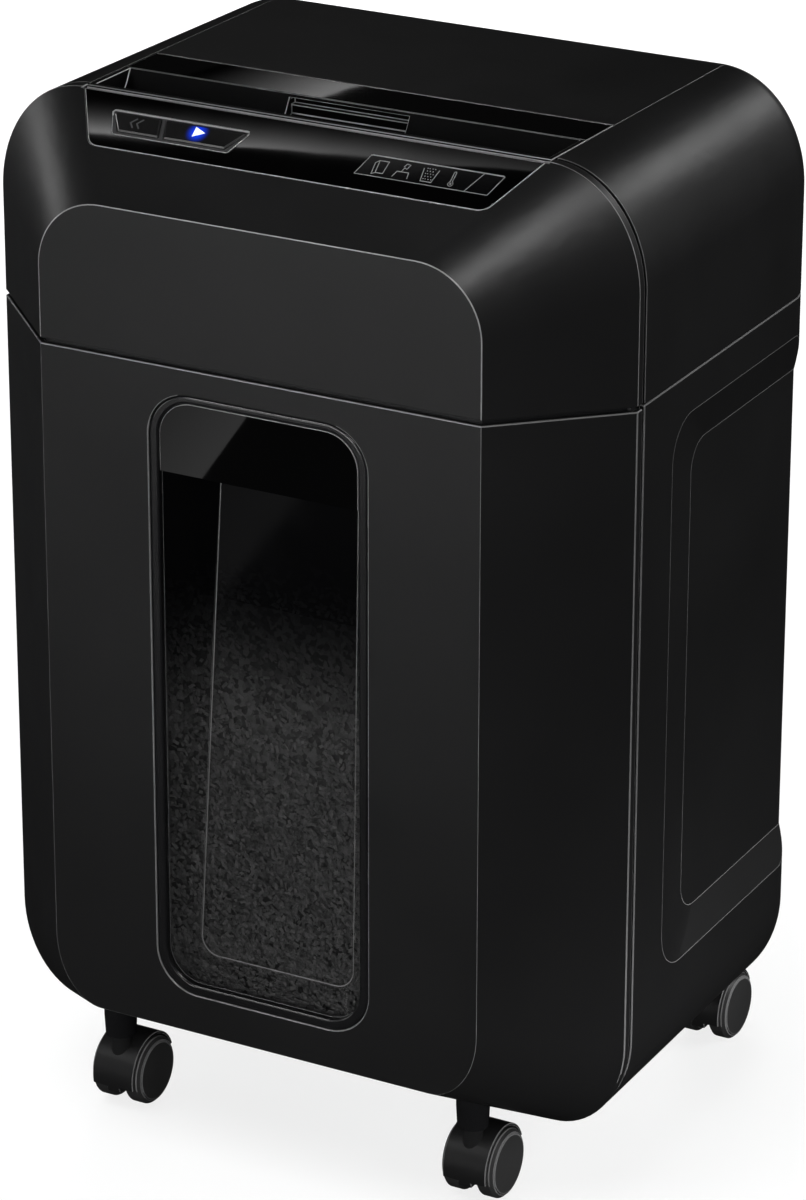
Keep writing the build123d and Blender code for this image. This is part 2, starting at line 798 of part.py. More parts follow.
def motor_pinion():
    """The pinion on the end of the motor's shaft."""
    blank = prism_x(gear_sketch(LARGE_MODULE, PINION_TEETH, PINION_PHASE), (LARGE_IN, LARGE_OUT))
    pinion = Pos(0, MOTOR_Y, IDLER_Z) * blank
    return pinion + rod_x(3.0, (90.0, LARGE_IN), MOTOR_Y, IDLER_Z)


def motor_body():
    motor = rod_x(MOTOR_R, (8.0, 108.0), MOTOR_Y, IDLER_Z)
    motor += rod_x(MOTOR_R - 7, (108.0, PLATE_IN), MOTOR_Y, IDLER_Z)
    motor += rod_x(MOTOR_R - 12, (0.0, 8.0), MOTOR_Y, IDLER_Z)
    motor += block((30.0, 86.0), (MOTOR_Y - 18, MOTOR_Y + 18), (DECK_HIGH, IDLER_Z))
    return motor - rod_x(3.0 + RUN_GAP, (89.0, FAR), MOTOR_Y, IDLER_Z)


# Electrical pieces


def run_capacitor():
    can = rod_x(18.0, (-104.0, -36.0), 202.0, DECK_HIGH + 18.0)
    can = fillet(can.edges(), 3.0)
    clip = block((-84.0, -56.0), (186.0, 218.0), (DECK_HIGH, DECK_HIGH + 10.0))
    return can + clip


def power_board():
    board = block((10.0, 104.0), (184.0, 220.0), (11.0, 12.6))
    for x in (15.0, 99.0):
        for y in (189.0, 215.0):
            board += rod_z(3.0, x, y, (DECK_HIGH, 11.0))
    board += block((20.0, 50.0), (190.0, 214.0), (12.6, 38.0))
    board += block((58.0, 78.0), (194.0, 212.0), (12.6, 26.0))
    return board


def cord_gland():
    """The bush that the mains cord comes out of."""
    bush = rod_y(GLAND_R + 3.0, GLAND_X, (BACK - 9, BACK), GLAND_Z)
    bush += rod_y(GLAND_R + 5.5, GLAND_X, (BACK, BACK + 3), GLAND_Z)
    bush += rod_y(GLAND_R + 2.0, GLAND_X, (BACK + 3, BACK + 11), GLAND_Z)
    return bush - rod_y(GLAND_R, GLAND_X, (BACK - 20, FAR), GLAND_Z)


def switch_housing():
    """The frame of the power switch, with a box behind it that holds the rocker's pivots."""
    box = block((SWITCH_X - 13, SWITCH_X + 13), (BACK - 12, BACK), (SWITCH_Z - 10.5, SWITCH_Z + 10.5))
    rim = block((SWITCH_X - 16, SWITCH_X + 16), (BACK, BACK + 2), (SWITCH_Z - 13, SWITCH_Z + 13))
    well = block((SWITCH_X - 10, SWITCH_X + 10), (BACK - 9, FAR), (SWITCH_Z - 9.4, SWITCH_Z + 9.4))
    pivots = rod_x(1.5 + RUN_GAP, (SWITCH_X - 12, SWITCH_X + 12), BACK - 3, SWITCH_Z)
    return box + rim - well - pivots


def power_rocker():
    """A rocker pressed in at its upper end, on two short pivots."""
    points = [
        (-3.0, -8.6),
        (5.6, -8.6),
        (3.4, 0.0),
        (5.6, 8.6),
        (-3.0, 8.6),
    ]
    cap = prism_x(polygon(points), (-9.6, 9.6))
    cap += rod_x(1.5, (-11.8, 11.8), 0, 0)
    return Pos(SWITCH_X, BACK - 3, SWITCH_Z) * Rot(ROCKER_TILT, 0, 0) * cap


def interlock_switch():
    """The switch behind the bin that stops the cutters when the bin is out."""
    case = block((-14.0, 14.0), (BACK - WALL - 9, BACK - WALL), (-34.0, -18.0))
    return case + block((-4.0, 4.0), (BACK - WALL - 12, BACK - WALL - 9), (-29.0, -23.0))


# Bin


def window_opening(half, low, high, radius, y):
    radii = (radius, radius)
    return prism_y(outline(half, low, high, radii, radii), y)


def bin_front():
    shell = SHELL & block((-FAR, FAR), FRONT_SPAN, (-FAR, BIN_HIGH))
    shell -= window_opening(RIM_HALF + 0.2, RIM_LOW - 0.2, RIM_HIGH + 0.2, RIM_R, (-1, 12))
    front_x, front_y = STEMS["front_right"]
    for x in (-front_x, front_x):
        shell -= block((x - 13.6, x + 13.6), (front_y - 11.6, FAR), (-FAR, TOE_TOP + 0.6))
    return shell


def window_rim():
    ring = window_opening(RIM_HALF, RIM_LOW, RIM_HIGH, RIM_R, (RIM_FRONT, MOUTH_Y))
    ring -= window_opening(MOUTH_HALF, MOUTH_LOW, MOUTH_HIGH, MOUTH_R, (-1, 12))
    front_edges = ring.faces().sort_by(Axis.Y)[0].edges()
    return fillet(front_edges, 1.2)


def pane_plane(back):
    """The tilted plane of the window pane, or one parallel to it further back."""
    tilt = (PANE_HIGH_Y - PANE_LOW_Y) / (PANE_HIGH - PANE_LOW)
    return Plane(
        origin=(0, PANE_LOW_Y + back, PANE_LOW), x_dir=(1, 0, 0), z_dir=(0, -1, tilt)
    )


def dish(grow):
    """The hollow of the window from its mouth to the pane, grown on the sides and the back."""
    radii = (MOUTH_R, MOUTH_R)
    mouth = outline(MOUTH_HALF, MOUTH_LOW, MOUTH_HIGH, radii, radii, -grow)
    length = math.hypot(PANE_HIGH - PANE_LOW, PANE_HIGH_Y - PANE_LOW_Y)
    low = (-PANE_LOW_HALF, PANE_LOW_HALF)
    high = (-PANE_HIGH_HALF, PANE_HIGH_HALF)
    pane = rounded(
        trapezoid(0.0, length, (low[0], high[0]), (low[1], high[1]), -grow), PANE_R + grow
    )
    return loft([at_y(mouth, MOUTH_Y), pane_plane(grow) * pane], ruled=True)


def bin_window():
    """A dished window with a flange behind the bin front."""
    flange = window_opening(
        RIM_HALF + 4.5, RIM_LOW - 4.5, RIM_HIGH + 4.5, RIM_R + 4, (MOUTH_Y, MOUTH_Y + 2)
    )
    return flange + dish(WINDOW_WALL) - dish(0.0)


def bin_grip():
    """The gloss plate over the top of the window; fingers reach up behind it."""
    half = MOUTH_HALF - 0.3
    plate = polygon([(-half, GRIP_LOW), (half, GRIP_LOW), (half, MOUTH_HIGH - 0.3), (-half, MOUTH_HIGH - 0.3)])
    plate = fillet(plate.vertices().sort_by(Axis.Y)[2:], MOUTH_R - 0.3)
    return prism_y(plate, (GRIP_FRONT, GRIP_BACK))


def tub_space(inset, high):
    """The tub's main box with rounded upright edges and a rounded floor edge."""
    box = block(
        (inset - TUB_HALF, TUB_HALF - inset),
        (TUB_FRONT + inset, TUB_BACK - inset),
        (TUB_LOW + inset, high),
    )
    box = fillet(box.edges().filter_by(Axis.Z), TUB_R - inset)
    return fillet(box.faces().sort_by(Axis.Z)[0].edges(), TUB_R - inset - 4)


def bin_tub():
    """The tub, open at the top, with a neck that reaches forward to the window."""
    neck = block((-NECK_HALF, NECK_HALF), (WALL, TUB_FRONT + 2), (NECK_LOW, TUB_HIGH))
    neck_in = NECK_HALF - TUB_WALL
    hollow = block((-neck_in, neck_in), (0, TUB_FRONT + 4), (NECK_LOW + TUB_WALL, FAR))
    return tub_space(0, TUB_HIGH) + neck - tub_space(TUB_WALL, FAR) - hollow


# Casters, drawn with the stem on the Z axis


def caster_sockets():
    """The sleeves that the caster stems plug into."""
    profile = polygon(
        [
            (0.0, TOE_TOP),
            (SOCKET_R, TOE_TOP),
            (SOCKET_R, -340.0),
            (SOCKET_R - 0.5, SOCKET_FOOT),
            (STEM_R + RUN_GAP, SOCKET_FOOT),
            (STEM_R + RUN_GAP, TOE_TOP - 3),
            (0.0, TOE_TOP - 3),
        ]
    )
    sleeve = revolve(Plane.XZ * profile, Axis.Z)
    return group([Pos(x, y, 0) * sleeve for x, y in STEMS.values()])


def hood():
    """A hood over two wheels: web between them, skirt over their tops, neck round the stem."""
    sector = [(0.0, 0.0)] + [polar(FAR, angle) for angle in (HOOD_TO, 240, 290, 335, 360 + HOOD_FROM)]
    skirt = rod_x(HOOD_R, (-HOOD_HALF, HOOD_HALF), TRAIL, AXLE_Z)
    skirt -= Pos(0, TRAIL, AXLE_Z) * prism_x(polygon(sector), (-FAR, FAR))
    skirt += rod_z(STEM_R + 0.8, 0, 0, (AXLE_Z + 6, SOCKET_FOOT - 0.4))
    web = rod_x(HOOD_R, (-WEB_HALF, WEB_HALF), TRAIL, AXLE_Z)
    web &= block((-FAR, FAR), (-FAR, FAR), (AXLE_Z - 7, 0))
    shape = skirt + web
    for side in (-1, 1):
        ends = sorted((side * WEB_HALF, side * FAR))
        shape -= rod_x(HOOD_IN_R, ends, TRAIL, AXLE_Z)
    shape -= rod_z(STEM_R, 0, 0, (AXLE_Z + 14.5, 0))
    return shape - rod_x(AXLE_R, (-FAR, FAR), TRAIL, AXLE_Z)


def caster_pins():
    """The steel stem and the axle."""
    stem = rod_z(STEM_R, 0, 0, (AXLE_Z + 14.5, TOE_TOP - 3.6))
    axle = rod_x(AXLE_R, (-11.8, 11.8), TRAIL, AXLE_Z)
    return [stem, axle]


def wheel(side):
    """One wheel of the pair: rounded tread, and a slightly domed outer face in a rim."""
    hub = AXLE_R + RUN_GAP
    profile = [
        (12.2, 0.0),
        (12.2, hub),
        (WHEEL_IN, hub),
        (WHEEL_IN, WHEEL_R - 1.6),
        (WHEEL_IN + 1.6, WHEEL_R),
        (WHEEL_OUT - 2.6, WHEEL_R),
        (WHEEL_OUT - 1.0, WHEEL_R - 1.6),
        (WHEEL_OUT - 1.0, WHEEL_R - 2.2),
        (WHEEL_OUT - 0.6, WHEEL_R - 2.6),
        (WHEEL_OUT - 0.2, WHEEL_R / 2),
        (WHEEL_OUT, 0.0),
    ]
    solid = Pos(0, TRAIL, AXLE_Z) * revolve(polygon(profile), Axis.X)
    return solid if side > 0 else mirrored(solid)


# Every node, by name


def build():
    disc_gaps = DISC_COUNT - 1
    nodes = {
        "front_bezel": front_bezel(),
        "control_panel": control_panel(),
        "button_frame": button_frame(),
        "reverse_button": button(0),
        "start_button": button(1),
        "indicator_lens": indicator_lens(),
        "control_board": control_board(),
        "head_cheek_right": cheek(),
        "head_cheek_left": mirrored(cheek()),
        "top_cover": top_cover(),
        "feed_throat": feed_throat(),
        "top_strip": top_strip(),
        "side_cover_right": side_cover(),
        "side_cover_left": mirrored(side_cover()),
        "rear_panel": rear_panel(),
        "rear_screws": rear_screws(),
        "base_plate": base_plate(),
        "deck_plate": deck_plate(),
        "cutter_plate_right": cutter_plate(176.0, True),
        "cutter_plate_left": mirrored(cutter_plate(114.0, False)),
        "cutter_rods": cutter_rods(),
        "cutter_bushes": cutter_bushes(),
        "cutter_shaft_front": cutter_shaft(FRONT_CUTTER_Y, DISC_COUNT),
        "cutter_shaft_rear": cutter_shaft(REAR_CUTTER_Y, disc_gaps),
        "stripper_comb_front": stripper_comb((22.0, 28.0), (28.0, 32.8), disc_gaps),
        "stripper_comb_rear": stripper_comb((105.0, 111.0), (100.2, 105.0), disc_gaps - 1),
        "timing_gear_front": timing_gear(FRONT_CUTTER_Y, FRONT_PHASE),
        "timing_gear_rear": timing_gear(REAR_CUTTER_Y, REAR_PHASE),
        "idler_gear": idler_gear(),
        "motor_pinion": motor_pinion(),
        "motor_body": motor_body(),
        "run_capacitor": run_capacitor(),
        "power_board": power_board(),
        "cord_gland": cord_gland(),
        "switch_housing": switch_housing(),
        "power_rocker": power_rocker(),
        "interlock_switch": interlock_switch(),
        "bin_front": bin_front(),
        "window_rim": window_rim(),
        "bin_window": bin_window(),
        "bin_grip": bin_grip(),
        "bin_tub": bin_tub(),
        "caster_sockets": caster_sockets(),
    }
    for place, (x, y) in STEMS.items():
        nodes["caster_hood_" + place] = Pos(x, y, 0) * hood()
        nodes["caster_pins_" + place] = group([Pos(x, y, 0) * pin for pin in caster_pins()])
        nodes["wheel_" + place + "_outer"] = Pos(x, y, 0) * wheel(math.copysign(1, x))
        nodes["wheel_" + place + "_inner"] = Pos(x, y, 0) * wheel(-math.copysign(1, x))
    return nodes


os.makedirs("parts", exist_ok=True)
for name, shape in build().items():
    export_step(TO_ORIGIN * shape, "parts/" + name + ".step")
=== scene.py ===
"""Looks of the paper shredder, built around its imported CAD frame; written in millimetres, made in metres."""
import json
import math
import random
import bmesh
import bpy
from mathutils import Matrix, Vector


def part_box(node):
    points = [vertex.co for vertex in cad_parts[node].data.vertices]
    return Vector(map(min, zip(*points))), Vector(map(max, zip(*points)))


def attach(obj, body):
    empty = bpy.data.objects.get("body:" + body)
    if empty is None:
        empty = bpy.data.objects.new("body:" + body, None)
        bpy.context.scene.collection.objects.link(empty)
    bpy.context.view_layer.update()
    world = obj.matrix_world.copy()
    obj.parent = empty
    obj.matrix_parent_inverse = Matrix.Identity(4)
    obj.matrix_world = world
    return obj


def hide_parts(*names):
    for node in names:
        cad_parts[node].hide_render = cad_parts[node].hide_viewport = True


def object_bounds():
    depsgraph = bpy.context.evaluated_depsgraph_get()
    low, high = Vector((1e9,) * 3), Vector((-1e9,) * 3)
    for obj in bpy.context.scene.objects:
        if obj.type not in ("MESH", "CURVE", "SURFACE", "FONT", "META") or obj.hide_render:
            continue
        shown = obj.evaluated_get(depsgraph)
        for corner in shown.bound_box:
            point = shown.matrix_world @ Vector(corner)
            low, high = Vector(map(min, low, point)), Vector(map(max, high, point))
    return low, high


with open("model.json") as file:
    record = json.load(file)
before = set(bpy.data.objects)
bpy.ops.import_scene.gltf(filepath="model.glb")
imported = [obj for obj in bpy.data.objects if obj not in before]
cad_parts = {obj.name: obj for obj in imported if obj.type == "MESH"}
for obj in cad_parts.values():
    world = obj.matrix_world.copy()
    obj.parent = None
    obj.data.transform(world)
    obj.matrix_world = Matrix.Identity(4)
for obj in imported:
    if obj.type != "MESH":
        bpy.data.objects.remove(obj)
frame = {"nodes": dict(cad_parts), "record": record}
cad_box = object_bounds()
MM = 0.001

# Where the drawing's own zero lies in the frame: the front face of the bin, and the seam below the bezel
SEAM_GAP = 1.1 * MM
FRONT_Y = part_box("bin_front")[0].y
SEAM_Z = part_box("front_bezel")[0].z - SEAM_GAP
FLOOR_Z = cad_box[0].z


def at(x, y, z):
    """A point given in millimetres from the middle, the front face and the head seam."""
    return Vector((x * MM, FRONT_Y + y * MM, SEAM_Z + z * MM))


# The slope of the control panel

SLOPE_FOOT = 67.0
SLOPE_RISE = 36.0
SLOPE_RUN = 48.2
SLOPE = math.hypot(SLOPE_RISE, SLOPE_RUN)
PANEL_NORMAL = Vector((0.0, -SLOPE_RISE, SLOPE_RUN)) / SLOPE

# How far the tops of the keys, of their frame and of the lens stand out of the slope
KEY_TOP = 0.9
FRAME_TOP = 0.3
LENS_TOP = 0.15


def on_slope(u, v, out):
    """A point given in millimetres across the slope, up it and out of it."""
    y = (SLOPE_RUN * v - SLOPE_RISE * out) / SLOPE
    z = SLOPE_FOOT + (SLOPE_RISE * v + SLOPE_RUN * out) / SLOPE
    return at(u, y, z)


# Camera, solved from the straight edges of the cabinet in the photograph

CAMERA_AT = at(1033.81, -1731.80, 718.85)
AZIMUTH = math.radians(29.0262)
ELEVATION = math.radians(22.1505)
ROLL = math.radians(0.0909)
FOCAL_PIXELS = 4960.5
FRAME_PIXELS = 1200.0
SENSOR = 36.0
VIEW_DEPTH = 50.0


def make_camera():
    data = bpy.data.cameras.new("camera")
    data.sensor_fit = "VERTICAL"
    data.sensor_height = SENSOR
    data.lens = SENSOR * FOCAL_PIXELS / FRAME_PIXELS
    data.clip_end = VIEW_DEPTH
    camera = bpy.data.objects.new("camera", data)
    bpy.context.scene.collection.objects.link(camera)
    turn = Matrix.Rotation(AZIMUTH, 4, "Z")
    tip = Matrix.Rotation(math.pi / 2 - ELEVATION, 4, "X")
    roll = Matrix.Rotation(ROLL, 4, "Z")
    camera.matrix_world = Matrix.Translation(CAMERA_AT) @ turn @ tip @ roll
    bpy.context.scene.camera = camera


# Materials

# Where a mix node keeps its two colours and their mix
MIX_LOW = 6
MIX_HIGH = 7
MIX_RESULT = 2
# The span over which noise varies
NOISE_LOW = 0.3
NOISE_HIGH = 0.7


class Nodes:
    """A node tree under construction."""

    def __init__(self, tree):
        self.tree = tree

    def node(self, kind, **values):
        """A new node with its inputs, or else its settings, given by name."""
        made = self.tree.nodes.new(kind)
        for key, value in values.items():
            if key in made.inputs:
                made.inputs[key].default_value = value
            else:
                setattr(made, key, value)
        return made

    def feed(self, value, target):
        """Gives an input a number or colour, or links another node's output to it."""
        if isinstance(value, bpy.types.NodeSocket):
            self.tree.links.new(value, target)
        else:
            target.default_value = value

    def ramp(self, value, start, end, low, high, kind="LINEAR"):
        """Runs from low to high while a value runs from start to end."""
        made = self.node("ShaderNodeMapRange", interpolation_type=kind)
        names = ("Value", "From Min", "From Max", "To Min", "To Max")
        for name, given in zip(names, (value, start, end, low, high)):
            self.feed(given, made.inputs[name])
        return made.outputs["Result"]

    def combine(self, operation, first, second):
        """Two values put together by one operation."""
        made = self.node("ShaderNodeMath", operation=operation)
        for given, target in zip((first, second), made.inputs):
            self.feed(given, target)
        return made.outputs["Value"]

    def mixed(self, share, first, second):
        """Two shaders mixed by the share of the second."""
        made = self.node("ShaderNodeMixShader")
        for given, target in zip((share, first, second), made.inputs):
            self.feed(given, target)
        return made.outputs["Shader"]


class Shader(Nodes):
    """A material under construction, with its one surface shader."""

    def __init__(self, name):
        self.material = bpy.data.materials.new(name)
        self.material.use_nodes = True
        super().__init__(self.material.node_tree)
        self.surface = self.tree.nodes["Principled BSDF"]
        self.place = self.node("ShaderNodeTexCoord").outputs["Object"]

    def set(self, **values):
        """Feeds inputs of the surface shader, which are named with underscores for spaces."""
        for key, value in values.items():
            self.feed(value, self.surface.inputs[key.replace("_", " ")])

    def show(self, shader):
        """Puts another shader on the surface."""
        self.feed(shader, self.tree.nodes["Material Output"].inputs["Surface"])

    def along(self, axis):
        """How far along one of the object's axes a place lies."""
        split = self.node("ShaderNodeSeparateXYZ")
        self.feed(self.place, split.inputs["Vector"])
        return split.outputs[axis]

    def noise(self, scale, detail=2.0, stretch=None):
        """Noise at so many features per metre, stretched along an axis if asked."""
        place = self.place
        if stretch:
            mapping = self.node("ShaderNodeMapping", Scale=stretch)
            self.feed(place, mapping.inputs["Vector"])
            place = mapping.outputs["Vector"]
        texture = self.node("ShaderNodeTexNoise", Scale=scale, Detail=detail)
        self.feed(place, texture.inputs["Vector"])
        return texture.outputs["Fac"]

    def spread(self, noise, low, high):
        """Noise spread over a range of values."""
        return self.ramp(noise, NOISE_LOW, NOISE_HIGH, low, high)

    def colours(self, noise, low, high):
        """Noise spread between two colours, as the colour of the surface."""
        mix = self.node("ShaderNodeMix", data_type="RGBA")
        mix.inputs[MIX_LOW].default_value = (*low, 1.0)
        mix.inputs[MIX_HIGH].default_value = (*high, 1.0)
        self.feed(self.spread(noise, 0.0, 1.0), mix.inputs["Factor"])
        self.set(Base_Color=mix.outputs[MIX_RESULT])

    def bump(self, height, strength, distance):
        """Fine relief of the surface, its distance in millimetres."""
        made = self.node("ShaderNodeBump", Strength=strength, Distance=distance * MM)
        self.feed(height, made.inputs["Height"])
        self.set(Normal=made.outputs["Normal"])


def shade(colour, share):
    return tuple(channel * share for channel in colour)


def moulded(name, colour, rough, specular, grain=1400.0, depth=0.12):
    """Injection-moulded plastic: fine spark grain, slight flow marks in colour and gloss."""
    shader = Shader(name)
    shader.colours(shader.noise(9.0, 3.0), shade(colour, 0.85), shade(colour, 1.15))
    gloss = shader.spread(shader.noise(23.0, 4.0), rough * 0.93, rough * 1.07)
    shader.bump(shader.noise(grain), depth, 0.2)
    shader.set(Roughness=gloss, Specular_IOR_Level=specular)
    return shader.material


def polished(name, colour, rough, specular=0.5):
    """Polished plastic with the faint waviness of a moulding and a few hazy patches."""
    shader = Shader(name)
    shader.colours(shader.noise(12.0), shade(colour, 0.8), shade(colour, 1.2))
    gloss = shader.spread(shader.noise(40.0, 5.0), rough * 0.7, rough * 1.3)
    shader.bump(shader.noise(30.0, 1.0), 0.04, 0.3)
    shader.set(Roughness=gloss, Specular_IOR_Level=specular)
    return shader.material


def metal(name, colour, rough, stretch):
    """Metal with fine marks drawn out along one direction."""
    shader = Shader(name)
    lines = shader.noise(900.0, 3.0, stretch)
    shader.colours(lines, shade(colour, 0.86), shade(colour, 1.1))
    shader.bump(lines, 0.1, 0.1)
    shader.set(Roughness=shader.spread(lines, rough * 0.8, rough * 1.2), Metallic=1.0)
    return shader.material


def smoked(name, colour, alpha, dark=None, painted_shade_from=0.0, painted_shade_to=0.0):
    """Tinted clear plastic which, if asked, grows more opaque and darker between two heights: painted shade
    over what shows through it.
    """
    shader = Shader(name)
    shader.colours(shader.noise(8.0), shade(colour, 0.8), shade(colour, 1.2))
    haze = shader.spread(shader.noise(60.0, 4.0), 0.04, 0.09)
    shader.set(Roughness=haze, Specular_IOR_Level=0.1, Alpha=alpha)
    if dark:
        shader.set(Alpha=shader.ramp(shader.along("Z"), painted_shade_from, painted_shade_to, alpha, dark, "SMOOTHSTEP"))
    return shader.material


def backlit(name, colour, light, middle, radius):
    """Polished plastic that lets a light through round a place, brightest there."""
    shader = Shader(name)
    shader.colours(shader.noise(12.0), shade(colour, 0.8), shade(colour, 1.2))
    gloss = shader.spread(shader.noise(40.0, 5.0), 0.07, 0.13)
    away = shader.node("ShaderNodeVectorMath", operation="DISTANCE")
    shader.feed(shader.place, away.inputs[0])
    shader.feed(middle, away.inputs[1])
    glow = shader.ramp(away.outputs["Value"], radius, 0.0, 0.0, 1.0, "SMOOTHERSTEP")
    shader.set(Roughness=gloss, Specular_IOR_Level=0.15)
    shader.set(Emission_Color=(*light, 1.0), Emission_Strength=glow)
    return shader.material


def glowing(name, colour, strength):
    """A lit symbol under clear plastic."""
    shader = Shader(name)
    glow = shader.spread(shader.noise(300.0, 1.0), strength * 0.9, strength * 1.1)
    shader.colours(shader.noise(300.0, 1.0), shade(colour, 0.9), colour)
    shader.set(Emission_Color=(*colour, 1.0), Emission_Strength=glow, Roughness=0.3)
    return shader.material


def paper(name, dark, light):
    """Shreds of printed paper: each strip has its own grey, with a little print on it."""
    shader = Shader(name)
    island = shader.node("ShaderNodeNewGeometry").outputs["Random Per Island"]
    grey = shader.ramp(island, 0.0, 1.0, dark, light)
    marks = shader.spread(shader.noise(420.0, 3.0), 0.7, 1.0)
    shader.set(Base_Color=shader.combine("MULTIPLY", grey, marks), Roughness=0.85, Specular_IOR_Level=0.2)
    return shader.material


def heaped(name, dark, light, size):
    """A close heap of paper bits of one size, each with its own grey."""
    shader = Shader(name)
    bits = shader.node("ShaderNodeTexVoronoi", Scale=1.0 / size)
    shader.feed(shader.place, bits.inputs["Vector"])
    grey = shader.spread(bits.outputs["Color"], dark, light)
    shader.bump(bits.outputs["Distance"], 0.5, 0.5)
    shader.set(Base_Color=grey, Roughness=0.85, Specular_IOR_Level=0.2)
    return shader.material


# Heights below the seam between which the window grows darker upwards, a painted shade over the paper under
# the head, and the light behind the start key
PAINTED_SHADE_FROM = SEAM_Z - 178 * MM
PAINTED_SHADE_TO = SEAM_Z - 60 * MM
KEY_LIGHT_AT = on_slope(-49.4, 45.2, KEY_TOP)
KEY_LIGHT_RADIUS = 6.6 * MM
KEY_LIGHT = (0.0, 0.05, 1.0)
KEY_BLACK = (0.004, 0.004, 0.0043)

SATIN = moulded("satin_black", (0.016, 0.016, 0.0165), 0.4, 0.2)
# The lighter edge looks below are painted highlights: the thin lines of light that rounded edges catch, given
# as colour
EDGE = moulded("edge_painted_highlight", (0.26, 0.26, 0.262), 0.28, 0.6, depth=0.03)
SIDE_EDGE = moulded("side_edge_painted_highlight", (0.26, 0.26, 0.262), 0.6, 0.05, depth=0.03)
BEZEL_EDGE = moulded("bezel_edge_painted_highlight", (0.38, 0.38, 0.383), 0.25, 0.7, depth=0.03)
BRIGHT_EDGE = moulded("bright_edge_painted_highlight", (0.5, 0.5, 0.505), 0.22, 0.8, depth=0.02)
GLINT_EDGE = moulded("glint_edge", (0.75, 0.75, 0.76), 0.2, 0.8, depth=0.02)
PAPER = paper("shredded_paper", 0.3, 0.52)
HEAP = heaped("paper_heap", 0.15, 0.36, 2.4 * MM)
PRINT = moulded("symbol_grey", (0.6, 0.6, 0.61), 0.4, 0.4, depth=0.02)
DIM_PRINT = moulded("symbol_dim", (0.15, 0.15, 0.155), 0.4, 0.4, depth=0.02)
LIT = glowing("symbol_lit", (0.9, 0.95, 1.0), 0.9)
GLOSS = polished("gloss_black", (0.0015, 0.0015, 0.0016), 0.02)
RIM = moulded("rim_black", (0.012, 0.012, 0.013), 0.25, 0.5, depth=0.03)
# The window darkens towards its top: painted shade over the paper that lies under the head
WINDOW = smoked("smoked_window", (0.004, 0.004, 0.0045), 0.33, 0.96, PAINTED_SHADE_FROM, PAINTED_SHADE_TO)
# Painted highlight on the rounded edges of the window
WINDOW_EDGE = smoked("window_edge_painted_highlight", (0.25, 0.25, 0.252), 0.9)
LENS = polished("lens_black", (0.003, 0.003, 0.0035), 0.06)
KEY = polished("key_black", KEY_BLACK, 0.1, 0.15)
# Painted highlight on the chamfers and edges of the keys
KEY_EDGE = moulded("key_edge_painted_highlight", (0.06, 0.06, 0.061), 0.22, 0.5, depth=0.02)
KEY_LIT = backlit("key_backlit", KEY_BLACK, KEY_LIGHT, KEY_LIGHT_AT, KEY_LIGHT_RADIUS)
THROAT = moulded("throat_black", (0.006, 0.006, 0.0062), 0.5, 0.03)
# The key frame's grey is a painted reflection: it stands in for the light that its chrome-like rim reflects
FRAME = moulded("frame_grey_painted_reflection", (0.1, 0.1, 0.102), 0.3, 0.5, depth=0.03)
TUB = moulded("tub_black", (0.014, 0.014, 0.015), 0.55, 0.3)
CUTTER = metal("cutter_steel", (0.32, 0.32, 0.34), 0.35, (1.0, 12.0, 12.0))
ZINC = metal("zinc_steel", (0.55, 0.55, 0.57), 0.38, (1.0, 1.0, 8.0))
COMB = moulded("comb_black", (0.03, 0.03, 0.032), 0.5, 0.4)
BRONZE = metal("bush_bronze", (0.5, 0.33, 0.15), 0.45, (6.0, 1.0, 1.0))
NYLON = moulded("gear_nylon", (0.66, 0.64, 0.57), 0.45, 0.45)
MOTOR = moulded("motor_enamel", (0.045, 0.05, 0.055), 0.4, 0.5, depth=0.2)
CAN = metal("capacitor_can", (0.7, 0.7, 0.72), 0.3, (1.0, 10.0, 10.0))
BOARD = moulded("board_green", (0.02, 0.11, 0.05), 0.35, 0.5, grain=600.0)
RUBBER = moulded("gland_rubber", (0.014, 0.014, 0.014), 0.7, 0.3, grain=900.0, depth=0.3)
GREY = moulded("switch_grey", (0.09, 0.09, 0.1), 0.45, 0.4)
HOOD = moulded("caster_black", (0.02, 0.02, 0.0205), 0.42, 0.15, depth=0.06)
STEEL = metal("caster_steel", (0.5, 0.5, 0.52), 0.3, (1.0, 1.0, 12.0))
WHEEL = moulded("wheel_black", (0.05, 0.05, 0.0505), 0.36, 0.25, depth=0.04)

SLOT_LOOKS = {
    "cabinet_plastic": SATIN,
    "gloss_black": GLOSS,
    "rim_plastic": RIM,
    "smoked_window": WINDOW,
    "lens_plastic": LENS,
    "button_plastic": KEY,
    "tub_plastic": TUB,
    "cutter_steel": CUTTER,
    "zinc_steel": ZINC,
    "comb_plastic": COMB,
    "bush_bronze": BRONZE,
    "gear_nylon": NYLON,
    "pinion_steel": CUTTER,
    "motor_paint": MOTOR,
    "capacitor_can": CAN,
    "board_laminate": BOARD,
    "gland_rubber": RUBBER,
    "switch_plastic": GREY,
    "caster_plastic": HOOD,
    "caster_steel": STEEL,
    "wheel_plastic": WHEEL,
}
NODE_LOOKS = {"start_button": KEY_LIT, "button_frame": FRAME, "feed_throat": THROAT}
NODE_SLOT = {part["node"]: part["material_slot"] for part in frame["record"]["subparts"]}
NODE_BODY = {
    node: body for body, nodes in frame["record"]["behaviour"]["bodies"].items() for node in nodes
}


def paint_cad():
    """Puts a procedural material on every CAD node that stays in view."""
    for node, thing in frame["nodes"].items():
        thing.data.materials.clear()
        thing.data.materials.append(SLOT_LOOKS[NODE_SLOT[node]])


# Making pieces


def new_object(name, mesh):
    piece = bpy.data.objects.new(name, mesh)
    bpy.context.scene.collection.objects.link(piece)
    return piece


def dress(piece, look, body):
    """Gives a finished piece its material and body."""
    piece.data.materials.clear()
    piece.data.materials.append(look)
    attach(piece, body)


